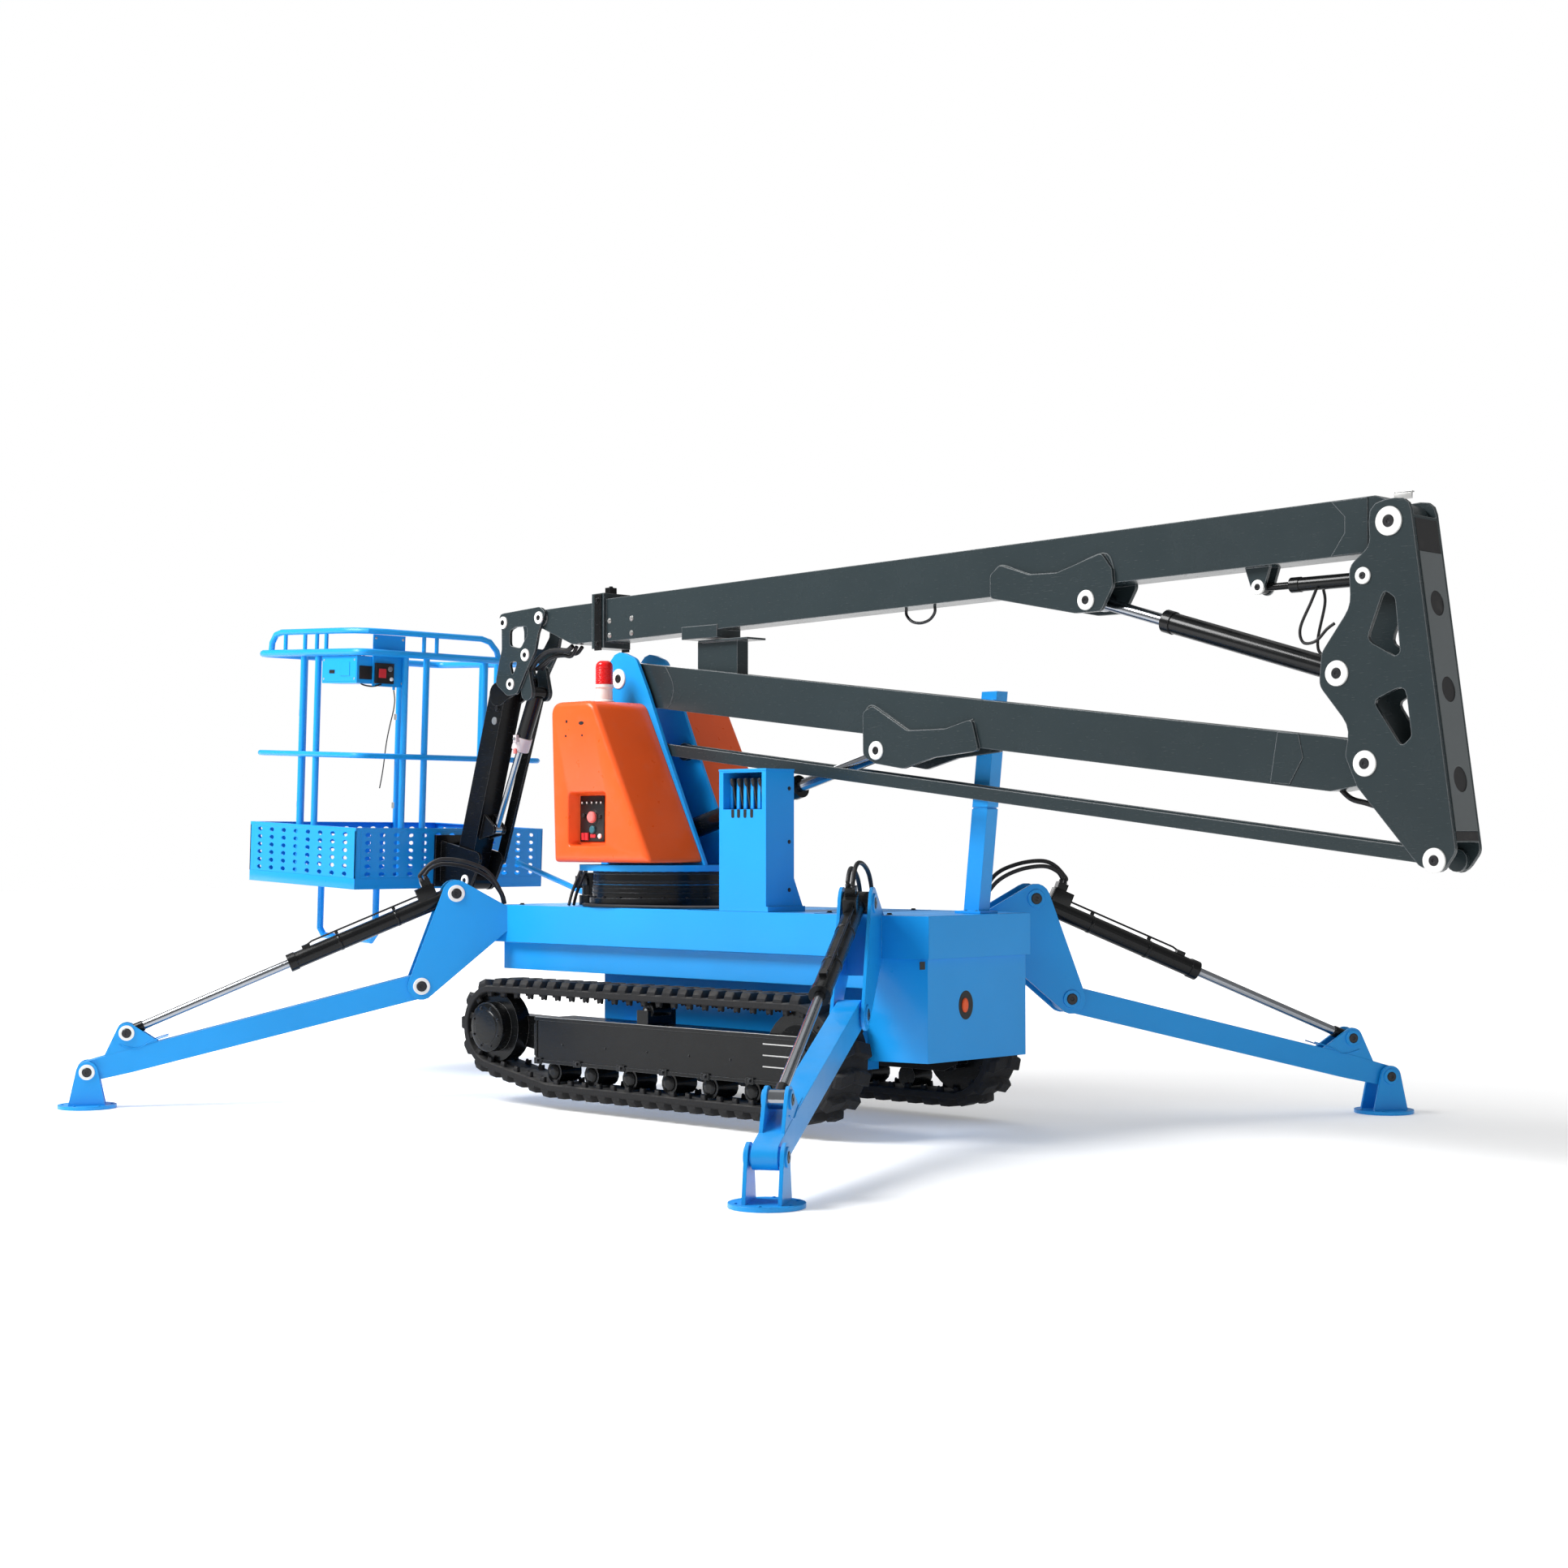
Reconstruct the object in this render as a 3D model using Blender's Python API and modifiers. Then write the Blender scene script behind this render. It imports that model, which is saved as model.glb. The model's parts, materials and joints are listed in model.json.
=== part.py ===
"""Crawler boom lift: a tracked work platform standing on four folding outriggers.

Metres, +Z up.  X runs along the chassis, from the basket (-X) to the boom's elbow (+X).
The slew ring, the tracks and the booms share the plane y = 0.  Everything hangs on one
empty, which slides the machine along X until its box is centred on the origin.
Points of the side view are (x, z) in the machine's own frame, before that slide.
"""
from math import atan2, cos, hypot, pi, radians, sin, tau

import bmesh
import bpy
from mathutils import Matrix, Vector

for old in list(bpy.data.objects):
    bpy.data.objects.remove(old)

# Clearances
FACE_GAP = 0.0003          # between pieces that are bolted face to face
RUNNING_GAP = 0.006        # between pieces that move past each other
PIN_GAP = 0.001            # around a pin or a rod in its bore

# Deck
DECK_REAR, DECK_FRONT = -0.993, 1.336
DECK_HALF_WIDTH = 0.340
DECK_BOTTOM, DECK_TOP = 0.647, 0.799
DECK_CHAMFER_LENGTH, DECK_CHAMFER_DEPTH = 0.244, 0.055

# Body under the deck
SKIRT_INSET = 0.035
SKIRT_BOTTOM = 0.535
KEEL_REAR, KEEL_FRONT, KEEL_HALF_WIDTH, KEEL_BOTTOM = -0.560, 0.740, 0.115, 0.200
CROSS_BEAMS, CROSS_BEAM_BOTTOM, CROSS_BEAM_TOP = (-0.400, 0.560), 0.235, 0.325
ENGINE_BOX_REAR, ENGINE_BOX_INSET, ENGINE_BOX_BOTTOM = 1.082, 0.014, 0.280

# Tracks; a bend of the belt is (x, z, inner radius)
TRACK_OUTER_SIDE, TRACK_WIDTH = 0.512, 0.175
DRIVE_WHEEL, IDLER, LOW_BEND = (-0.815, 0.310, 0.141), (0.895, 0.280, 0.176), (-0.450, 0.217, 0.113)
BELT_THICKNESS, LUG_HEIGHT = 0.027, 0.028
LUG_PITCH, LUG_SHARE = 0.083, 0.55
WHEEL_SIDES, ROLLER_RADIUS = 32, 0.042
ROLLER_COUNT = 6
CARRIER, CARRIER_RADIUS = (0.094, 0.419), 0.030
FRAME_REAR, FRAME_FRONT, FRAME_BOTTOM, FRAME_TOP = -0.550, 0.930, 0.183, 0.365
FRAME_INSET, DRIVE_MOTOR_RADIUS, DRIVE_MOTOR_REACH = 0.014, 0.100, 0.013

# Slew ring and turret
SLEW_X = -0.3185
RING_RADIUS, RING_BASE_TOP, RING_SPLIT, RING_TOP = 0.297, 0.835, 0.888, 0.944
TURRET_PLATE_RADIUS, TURRET_PLATE = 0.350, 0.024
TURRET_INNER, TURRET_WALL = 0.076, 0.015

# Side-view pins of the booms
BOOM_ROOT = (-0.503, 1.727)
LINK_ROOT = (-0.265, 1.426)
LIFT_ROOT = (-0.350, 1.060)
ELBOW_LOW = (2.953, 1.305)
LIFT_EYE = (0.899, 1.398)
ELBOW_TOP = (3.042, 2.055)
UPPER_LIFT_ROOT = (2.855, 1.591)
UPPER_LIFT_EYE = (1.867, 1.890)
LEVEL_ROOT = (2.950, 1.892)
LEVEL_EYE = (2.530, 1.890)
HEAD_PIN = (-1.034, 2.013)
JIB_ROOT = (-1.222, 1.738)
JIB_END = (-1.530, 0.890)
JIB_LINK_OFFSET = (0.070, 0.095)
JIB_LIFT_ROOT = (-1.130, 1.700)
JIB_LIFT_EYE = (-1.400, 1.113)

# Boom sections
LOWER_HALF_WIDTH, LOWER_HEIGHT, LOWER_DROP = 0.060, 0.172, 0.015
UPPER_HALF_WIDTH, UPPER_HEIGHT, UPPER_WALL = 0.060, 0.178, 0.007
UPPER_REAR, UPPER_SLOPE = -0.620, 0.0215
INNER_CLEARANCE = 0.0009
INNER_FRONT, INNER_WALL = 2.250, 0.006
LINK_HEIGHT, LINK_RISE, LINK_INSIDE, LINK_WALL = 0.046, 0.008, 0.051, 0.016
YOKE_WALL = 0.015
TELESCOPE_NOSE = 0.195     # from the head pin back to the full depth of the inner section
JIB_TOP, JIB_LOW = (-1.335, 1.700), (-1.585, 0.905)      # ends of its beam's centre line
JIB_HALF_WIDTH, JIB_HEIGHT = 0.050, 0.104

# Outriggers, in the plane of a leg: distance out from the upper pin, height
LEG_ROOT_FRONT, LEG_ROOT_REAR, LEG_ROOT_SIDE = 1.180, -1.074, 0.486
LEG_PLAN_ANGLE = 58.0
LEG_CYLINDER_PIN = (0.0, 0.847)
LEG_PIVOT = (0.141, 0.468)
LEG_ROD_PIN = (1.308, 0.297)
FOOT_PIN = (1.459, 0.146)
LEG_HALF_WIDTH, LEG_HEIGHT = 0.040, 0.100
BRACKET_WALL, BRACKET_REACH = 0.012, 0.215
PAD_RADIUS, PAD_THICKNESS = 0.115, 0.014

# Basket
BASKET_FRONT, BASKET_LENGTH, BASKET_WIDTH = -1.720, 0.800, 1.050
BASKET_FLOOR, TOE_HEIGHT, TOE_WALL = 0.853, 0.267, 0.006
BASKET_TILT = 2.4          # degrees by which its rear end stands up in the transport position
FLOOR_TOP = BASKET_FLOOR + 0.012
STEP_REAR, STEP_FRONT, STEP_Y, STEP_BOTTOM = -2.280, -1.865, -0.300, 0.615
RAIL_TOP, RAIL_MID, RAIL_HIGH, RAIL_RADIUS = 1.880, 1.432, 1.973, 0.016
RAIL_INSET, POST_RADIUS = 0.010, 0.0144
PLATE_Y0, PLATE_Y1, PLATE_BOTTOM, PLATE_TOP, PLATE_WALL = -0.433, -0.263, 1.735, 1.960, 0.006
CABLE_RADIUS, GLAND_RADIUS, GLAND_LENGTH = 0.0025, 0.006, 0.012

WELD = 1e-5                # distance within which a seam's points become one

PARTS = bpy.data.collections.new("crawler_boom_lift")
CUTTERS = bpy.data.collections.new("cutters")
for group in (PARTS, CUTTERS):
    bpy.context.scene.collection.children.link(group)


def paint(name, colour, roughness, metallic=0.0):
    made = bpy.data.materials.new(name)
    made.use_nodes = True
    shader = made.node_tree.nodes["Principled BSDF"]
    shader.inputs["Base Color"].default_value = (*colour, 1.0)
    shader.inputs["Roughness"].default_value = roughness
    shader.inputs["Metallic"].default_value = metallic
    return made


BLUE = paint("blue_paint", (0.016, 0.222, 0.680), 0.35)
GREY = paint("boom_grey_paint", (0.028, 0.041, 0.046), 0.35)
BLACK = paint("black_paint", (0.010, 0.011, 0.013), 0.40)
RUBBER = paint("track_rubber", (0.012, 0.012, 0.013), 0.85)
ORANGE = paint("orange_cover", (0.830, 0.110, 0.022), 0.40)
CHROME = paint("chrome", (0.550, 0.570, 0.600), 0.15, 1.0)
RED_LENS = paint("red_lens", (0.700, 0.010, 0.012), 0.20)
CABLE = paint("black_cable", (0.010, 0.010, 0.011), 0.60)


# Bodies: an empty on each joint's axis

class Body:
    def __init__(self, name, parent=None, at=(0.0, 0.0, 0.0), turn=0.0):
        self.place = Matrix.Translation(Vector(at)) @ Matrix.Rotation(turn, 4, "Z")
        self.empty = bpy.data.objects.new(name, None)
        self.empty.empty_display_size = 0.1
        PARTS.objects.link(self.empty)
        above = Matrix.Identity(4)
        if parent:
            self.empty.parent = parent.empty
            above = parent.place
        self.empty.matrix_local = above.inverted() @ self.place


def side_point(point, y=0.0):
    return (point[0], y, point[1])


# Solids, made where they stand in the machine's frame

def solid(mesh, name="piece"):
    made = bpy.data.objects.new(name, mesh)
    PARTS.objects.link(made)
    return made


def from_bmesh(work):
    """A solid with its faces outward; a sliver that a Boolean left open is closed again."""
    mesh = bpy.data.meshes.new("piece")
    gaps = [edge for edge in work.edges if edge.is_boundary]
    if gaps:
        bmesh.ops.holes_fill(work, edges=gaps, sides=6)
    bmesh.ops.recalc_face_normals(work, faces=work.faces)
    work.to_mesh(mesh)
    work.free()
    return solid(mesh)


def baked(source, weld=True):
    """The evaluated mesh of a curve or of an object with modifiers, its seams welded if asked."""
    bpy.context.view_layer.update()
    seen = source.evaluated_get(bpy.context.evaluated_depsgraph_get())
    mesh = bpy.data.meshes.new_from_object(seen)
    mesh.transform(source.matrix_world)
    work = bmesh.new()
    work.from_mesh(mesh)
    if weld:
        bmesh.ops.remove_doubles(work, verts=work.verts, dist=WELD)
    data = source.data
    bpy.data.objects.remove(source)
    if isinstance(data, bpy.types.Curve):
        bpy.data.curves.remove(data)
    bpy.data.meshes.remove(mesh)
    return from_bmesh(work)


def box(x0, x1, y0, y1, z0, z1):
    work = bmesh.new()
    bmesh.ops.create_cube(work, size=1.0)
    bmesh.ops.scale(work, vec=(x1 - x0, y1 - y0, z1 - z0), verts=work.verts)
    bmesh.ops.translate(work, vec=((x0 + x1) / 2, (y0 + y1) / 2, (z0 + z1) / 2), verts=work.verts)
    return from_bmesh(work)


def cylinder(start, end, radius, sides=20, end_radius=None):
    start, end = Vector(start), Vector(end)
    work = bmesh.new()
    bmesh.ops.create_cone(work, cap_ends=True, segments=sides, radius1=radius,
                          radius2=radius if end_radius is None else end_radius,
                          depth=(end - start).length)
    turn = Vector((0, 0, 1)).rotation_difference(end - start).to_matrix().to_4x4()
    work.transform(Matrix.Translation((start + end) / 2) @ turn)
    return from_bmesh(work)


def pin(point, radius, y0, y1, sides=18):
    """A pin across the machine, through a point of the side view."""
    return cylinder(side_point(point, y0), side_point(point, y1), radius, sides)


def sheet(outline, thickness, holes, place):
    """A flat plate from an outline with holes, its middle plane at place."""
    curve = bpy.data.curves.new("outline", "CURVE")
    curve.dimensions = "2D"
    curve.fill_mode = "BOTH"
    curve.extrude = thickness / 2
    for points in (outline, *holes):
        spline = curve.splines.new("POLY")
        spline.points.add(len(points) - 1)
        for target, point in zip(spline.points, points):
            target.co = (*point, 0.0, 1.0)
        spline.use_cyclic_u = True
    made = bpy.data.objects.new("outline", curve)
    PARTS.objects.link(made)
    made.matrix_world = place
    return baked(made)


def slab(outline, y0, y1, holes=()):
    """A plate of the side view, between two planes across the machine."""
    upright = Matrix(((1, 0, 0, 0), (0, 0, -1, (y0 + y1) / 2), (0, 1, 0, 0), (0, 0, 0, 1)))
    return sheet(outline, abs(y1 - y0), holes, upright)


def plates(outline, inside, thickness, holes=()):
    """Two like plates either side of the middle plane."""
    return [slab(outline, side * inside, side * (inside + thickness), holes) for side in (-1, 1)]


def floor_slab(outline, z0, z1, holes=()):
    """A plate of the plan view, between two heights."""
    return sheet(outline, z1 - z0, holes, Matrix.Translation((0, 0, (z0 + z1) / 2)))


def tube(points, radius, resolution=1, cyclic=False):
    curve = bpy.data.curves.new("tube", "CURVE")
    curve.dimensions = "3D"
    curve.bevel_depth = radius
    curve.bevel_resolution = resolution
    curve.use_fill_caps = True
    spline = curve.splines.new("POLY")
    spline.points.add(len(points) - 1)
    for target, point in zip(spline.points, points):
        target.co = (*point, 1.0)
    spline.use_cyclic_u = cyclic
    made = bpy.data.objects.new("tube", curve)
    PARTS.objects.link(made)
    return baked(made)


def turned(profile, start, direction, steps=20):
    """A turned shape: (radius, distance along) from the far end's centre back to the near end's."""
    mesh = bpy.data.meshes.new("profile")
    mesh.from_pydata([(r, 0.0, along) for r, along in profile],
                     [(i, i + 1) for i in range(len(profile) - 1)], [])
    made = solid(mesh)
    screw = made.modifiers.new("turn", "SCREW")
    screw.steps = screw.render_steps = steps
    screw.use_merge_vertices = True
    screw.merge_threshold = WELD
    turn = Vector((0, 0, 1)).rotation_difference(Vector(direction)).to_matrix().to_4x4()
    made.matrix_world = Matrix.Translation(start) @ turn
    return baked(made)


def combine(first, others, operation):
    for other in others:
        step = first.modifiers.new(operation, "BOOLEAN")
        step.operation = operation
        step.solver = "EXACT"
        step.object = other
    made = baked(first, weld=False)
    for other in others:
        bpy.data.objects.remove(other)
    return made


def part(name, body, material, pieces, cuts=(), frame=None, smooth=True):
    """One named sub-part: pieces welded together, less the cuts, hung on its body."""
    made = pieces[0]
    if len(pieces) > 1:
        made = combine(made, pieces[1:], "UNION")
    if cuts:
        made = combine(made, list(cuts), "DIFFERENCE")
    made.name = made.data.name = name
    made.data.transform(body.place.inverted() @ (frame or Matrix.Identity(4)))
    made.parent = body.empty
    made.data.materials.clear()
    made.data.materials.append(material)
    if smooth:
        made.data.shade_smooth()
        made.data.set_sharp_from_angle(angle=radians(35))
    return made


# Outlines of the side view

def circle(centre, radius, sides=20):
    return [(centre[0] + radius * cos(tau * i / sides), centre[1] + radius * sin(tau * i / sides))
            for i in range(sides)]


def around(*circles, sides=24):
    """The convex outline round circles (x, z, radius)."""
    points = sorted({(round(x, 6), round(z, 6)) for cx, cz, radius in circles
                     for x, z in circle((cx, cz), radius, sides)})
    outline = []
    for run in (points, points[::-1]):
        side = []
        for point in run:
            while len(side) > 1 and turns_right(side[-2], side[-1], point):
                side.pop()
            side.append(point)
        outline += side[:-1]
    return outline


def turns_right(a, b, c):
    return (b[0] - a[0]) * (c[1] - a[1]) - (b[1] - a[1]) * (c[0] - a[0]) <= 1e-9


def rounded(corners, steps=3):
    """An outline of corners (x, z, radius), each rounded by an arc."""
    outline = []
    for i, (x, z, radius) in enumerate(corners):
        here = Vector((x, z))
        before = Vector(corners[i - 1][:2]) - here
        after = Vector(corners[(i + 1) % len(corners)][:2]) - here
        start, end = before.normalized(), after.normalized()
        half = start.angle(end) / 2
        reach = min(radius / max(0.05, abs(sin(half) / cos(half))), before.length / 2.2, after.length / 2.2)
        first, last = here + start * reach, here + end * reach
        for k in range(steps + 1):
            share = k / steps
            outline.append(tuple(first.lerp(here, share).lerp(here.lerp(last, share), share)))
    return outline


def along(start, end, distance):
    length = hypot(end[0] - start[0], end[1] - start[1])
    return (start[0] + (end[0] - start[0]) * distance / length,
            start[1] + (end[1] - start[1]) * distance / length)


def span(start, end):
    return hypot(end[0] - start[0], end[1] - start[1])


def bar(start, end, height, back=0.0, front=0.0):
    """The side view of a straight beam round the line between two points."""
    length = span(start, end)
    a = along(start, end, -back)
    b = along(start, end, length + front)
    nx, nz = -(end[1] - start[1]) / length * height / 2, (end[0] - start[0]) / length * height / 2
    return [(a[0] - nx, a[1] - nz), (b[0] - nx, b[1] - nz), (b[0] + nx, b[1] + nz), (a[0] + nx, a[1] + nz)]


# Hydraulic cylinders: a barrel with a bore, and a rod that slides in it

def hydraulic(name, barrel_body, rod_body, root, eye, lengths, radii, root_eye, rod_eye, frame=None):
    """lengths and radii are the barrel's and the rod's; an eye is its radius and half width."""
    barrel_length, rod_length = lengths
    barrel_radius, rod_radius = radii
    start, end = Vector(side_point(root)), Vector(side_point(eye))
    bore, bore_end = rod_radius + PIN_GAP, root_eye[0] + 0.014
    collar, collar_length = barrel_radius * 1.1, 0.035
    barrel = turned([(0.0, bore_end), (bore, bore_end), (bore, barrel_length), (collar, barrel_length),
                     (collar, barrel_length - collar_length), (barrel_radius, barrel_length - collar_length),
                     (barrel_radius, root_eye[0] * 0.5), (0.0, root_eye[0] * 0.5)], start, end - start)
    part(name + "_barrel", barrel_body, BLACK, [barrel, pin(root, root_eye[0], -root_eye[1], root_eye[1])],
         frame=frame)
    rod = cylinder(end, end + (start - end).normalized() * rod_length, rod_radius, 16)
    part(name + "_rod", rod_body, CHROME, [rod, pin(eye, rod_eye[0], -rod_eye[1], rod_eye[1])], frame=frame)


# Chassis

def deck_outline(inset=0.0, rear=DECK_REAR, front=DECK_FRONT):
    half, chamfer = DECK_HALF_WIDTH - inset, DECK_CHAMFER_DEPTH
    start = DECK_FRONT - DECK_CHAMFER_LENGTH
    nose = half - chamfer * (front - start) / DECK_CHAMFER_LENGTH
    return [(rear, -half), (start, -half), (front, -nose), (front, nose), (start, half), (rear, half)]


def leg_frames():
    """The four legs: name, and the frame whose X points out along the leg from its upper pin."""
    table = [("front_right", LEG_ROOT_FRONT, -1, -LEG_PLAN_ANGLE),      # name, x, side, plan angle
             ("front_left", LEG_ROOT_FRONT, 1, LEG_PLAN_ANGLE),
             ("rear_right", LEG_ROOT_REAR, -1, LEG_PLAN_ANGLE - 180.0),
             ("rear_left", LEG_ROOT_REAR, 1, 180.0 - LEG_PLAN_ANGLE)]
    return [(name, Matrix.Translation((x, side * LEG_ROOT_SIDE, 0)) @ Matrix.Rotation(radians(turn), 4, "Z"))
            for name, x, side, turn in table]


BRACKET_INSIDE = LEG_HALF_WIDTH + RUNNING_GAP + 0.002
ROOT_EYE_HALF = BRACKET_INSIDE - PIN_GAP * 0.8
WASHER_RADIUS, WASHER = 0.034, 0.004


def bracket(frame):
    """Two plates from the deck's corner out to a leg's two pins, with the web that joins them."""
    reach = -BRACKET_REACH
    outline = around((reach, DECK_TOP - 0.020, 0.010), (reach, DECK_BOTTOM + 0.062, 0.010),
                     (*LEG_CYLINDER_PIN, 0.056), (*LEG_PIVOT, 0.056), sides=18)
    pieces = plates(outline, BRACKET_INSIDE, BRACKET_WALL)
    web = [(reach + 0.01, DECK_BOTTOM + 0.062), (reach + 0.01, DECK_TOP - 0.015),
           (-0.100, DECK_TOP + 0.012), (-0.080, DECK_TOP - 0.020), (-0.052, 0.640), (-0.052, 0.590)]
    pieces.append(slab(web, -BRACKET_INSIDE - 0.004, BRACKET_INSIDE + 0.004))
    outer = BRACKET_INSIDE + BRACKET_WALL
    for point in (LEG_CYLINDER_PIN, LEG_PIVOT):
        for side in (-1, 1):
            pieces.append(pin(point, WASHER_RADIUS, side * (outer - 0.003), side * (outer + WASHER)))
    for piece in pieces:
        piece.data.transform(frame)
    return pieces


def deck(chassis):
    pieces = [floor_slab(deck_outline(), DECK_BOTTOM, DECK_TOP)]
    for _, frame in leg_frames():
        pieces += bracket(frame)
    part("deck_with_leg_brackets", chassis, BLUE, pieces)


def undercarriage(chassis):
    top = DECK_BOTTOM - FACE_GAP
    skirt_side = DECK_HALF_WIDTH - SKIRT_INSET
    front = ENGINE_BOX_REAR - 0.012
    pieces = [box(DECK_REAR + 0.02, front, -skirt_side, skirt_side, SKIRT_BOTTOM, top),
              box(KEEL_REAR, KEEL_FRONT, -KEEL_HALF_WIDTH, KEEL_HALF_WIDTH, KEEL_BOTTOM, SKIRT_BOTTOM + 0.01)]
    reach = TRACK_OUTER_SIDE - TRACK_WIDTH + FRAME_INSET - FACE_GAP
    for x in CROSS_BEAMS:
        pieces.append(box(x - 0.05, x + 0.05, -reach, reach, CROSS_BEAM_BOTTOM, CROSS_BEAM_TOP))
    part("undercarriage_frame", chassis, BLUE, pieces)


def engine_box(chassis):
    outline = deck_outline(ENGINE_BOX_INSET, ENGINE_BOX_REAR, DECK_FRONT - ENGINE_BOX_INSET)
    outline = [point for point in outline if point[0] >= ENGINE_BOX_REAR]
    part("engine_box", chassis, BLUE,
         [floor_slab(outline, ENGINE_BOX_BOTTOM, DECK_BOTTOM - FACE_GAP)],
         [cylinder((DECK_FRONT - 0.045, 0.0, 0.48), (DECK_FRONT + 0.05, 0.0, 0.48), 0.032)])


def belt(offset):
    """The loop round the belt's three bends, so far outside its inner face."""
    return around(*[(x, z, radius + offset) for x, z, radius in (DRIVE_WHEEL, IDLER, LOW_BEND)],
                  sides=WHEEL_SIDES)


def walk(outline):
    """A function from distance along a closed outline to the point there and the outward normal."""
    steps = list(zip(outline, outline[1:] + outline[:1]))
    length = sum(span(a, b) for a, b in steps)

    def place(distance, out):
        distance %= length
        for a, b in steps:
            step = span(a, b)
            if distance <= step:
                x, z = along(a, b, distance)
                return (x + (b[1] - a[1]) / step * out, z - (b[0] - a[0]) / step * out)
            distance -= step
        return outline[0]

    return place, length


def track_outline():
    """The belt's outer edge with its lugs, walked round its bends."""
    place, length = walk(belt(BELT_THICKNESS))
    count = round(length / LUG_PITCH)
    slope = 0.006
    outline = []
    for i in range(count):
        start = length * i / count
        end = start + length / count * LUG_SHARE
        outline += [place(start, 0.0), place(start + slope, LUG_HEIGHT),
                    place(end - slope, LUG_HEIGHT), place(end, 0.0)]
    return outline


def track(chassis, name, side):
    outer_side = side * TRACK_OUTER_SIDE
    part("track_" + name, chassis, RUBBER,
         [slab(track_outline(), outer_side, outer_side - side * TRACK_WIDTH, [belt(0.0)])], smooth=False)


def track_frame(chassis, name, side):
    """The beam inside a track, with its drive wheel, idler and rollers."""
    outer = side * (TRACK_OUTER_SIDE - FRAME_INSET)
    inner = side * (TRACK_OUTER_SIDE - TRACK_WIDTH + FRAME_INSET)
    end, chamfer = 0.070, 0.030
    beam = slab([(FRAME_REAR, FRAME_BOTTOM + chamfer), (FRAME_REAR + end, FRAME_BOTTOM),
                 (FRAME_FRONT - end, FRAME_BOTTOM), (FRAME_FRONT, FRAME_BOTTOM + chamfer),
                 (FRAME_FRONT, FRAME_TOP - chamfer), (FRAME_FRONT - end, FRAME_TOP - 0.006),
                 (FRAME_REAR + end, FRAME_TOP), (FRAME_REAR, FRAME_TOP - chamfer)], inner, outer)
    arm_side = inner + side * 0.070
    arm = slab([(DRIVE_WHEEL[0], DRIVE_WHEEL[1] - 0.060), (FRAME_REAR + end, FRAME_BOTTOM + 0.020),
                (FRAME_REAR + end, FRAME_TOP - 0.010), (DRIVE_WHEEL[0], DRIVE_WHEEL[1] + 0.050)],
               inner, arm_side)
    pieces = [beam, arm]
    for x, z, radius in (DRIVE_WHEEL, IDLER):
        rim = circle((x, z), radius - FACE_GAP, WHEEL_SIDES)
        pieces.append(slab(rim, arm_side - side * 0.010, outer - side * 0.020))
    pieces.append(pin(DRIVE_WHEEL[:2], DRIVE_MOTOR_RADIUS, outer - side * 0.030,
                      side * (TRACK_OUTER_SIDE + DRIVE_MOTOR_REACH), 24))
    floor = LOW_BEND[1] - LOW_BEND[2]
    first, last = LOW_BEND[0], IDLER[0] - 0.240
    for i in range(ROLLER_COUNT):
        x = first + (last - first) * i / (ROLLER_COUNT - 1)
        pieces.append(pin((x, floor + ROLLER_RADIUS + 0.004), ROLLER_RADIUS, inner + side * 0.02,
                          outer - side * 0.02, 14))
    pieces.append(pin(CARRIER, CARRIER_RADIUS, inner + side * 0.03, outer - side * 0.02, 14))
    pieces.append(box(CARRIER[0] - 0.040, CARRIER[0] + 0.020, min(inner, outer), max(inner, outer),
                      FRAME_TOP - 0.02, CARRIER[1]))
    part("track_frame_" + name, chassis, BLACK, pieces)


POST_FOOT, POST_HEAD = (1.229, DECK_TOP + FACE_GAP), (1.271, 1.180)
POST_HALF, POST_NEAR, POST_FAR = 0.036, 0.0745, 0.135


def rest_post(chassis):
    """The square post that carries the lower boom's saddle."""
    outline = [(POST_FOOT[0] - POST_HALF, POST_FOOT[1]), (POST_FOOT[0] + POST_HALF, POST_FOOT[1]),
               (POST_HEAD[0] + POST_HALF, POST_HEAD[1]), (POST_HEAD[0] - POST_HALF, POST_HEAD[1])]
    foot = box(POST_FOOT[0] - 0.06, POST_FOOT[0] + 0.06, POST_NEAR - 0.02, POST_FAR + 0.02,
               DECK_TOP + FACE_GAP, DECK_TOP + 0.010)
    part("rest_post", chassis, BLUE, [slab(outline, POST_NEAR, POST_FAR), foot])


CONSOLE_REAR, CONSOLE_FRONT = 0.338, 0.586
CONSOLE_OUTER, CONSOLE_DEPTH, CONSOLE_FLARE = -0.338, 0.150, 0.050
CONSOLE_TOP, CONSOLE_WALL = 1.332, 0.006
LEVER_COUNT, LEVER_RADIUS = 4, 0.006


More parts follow.
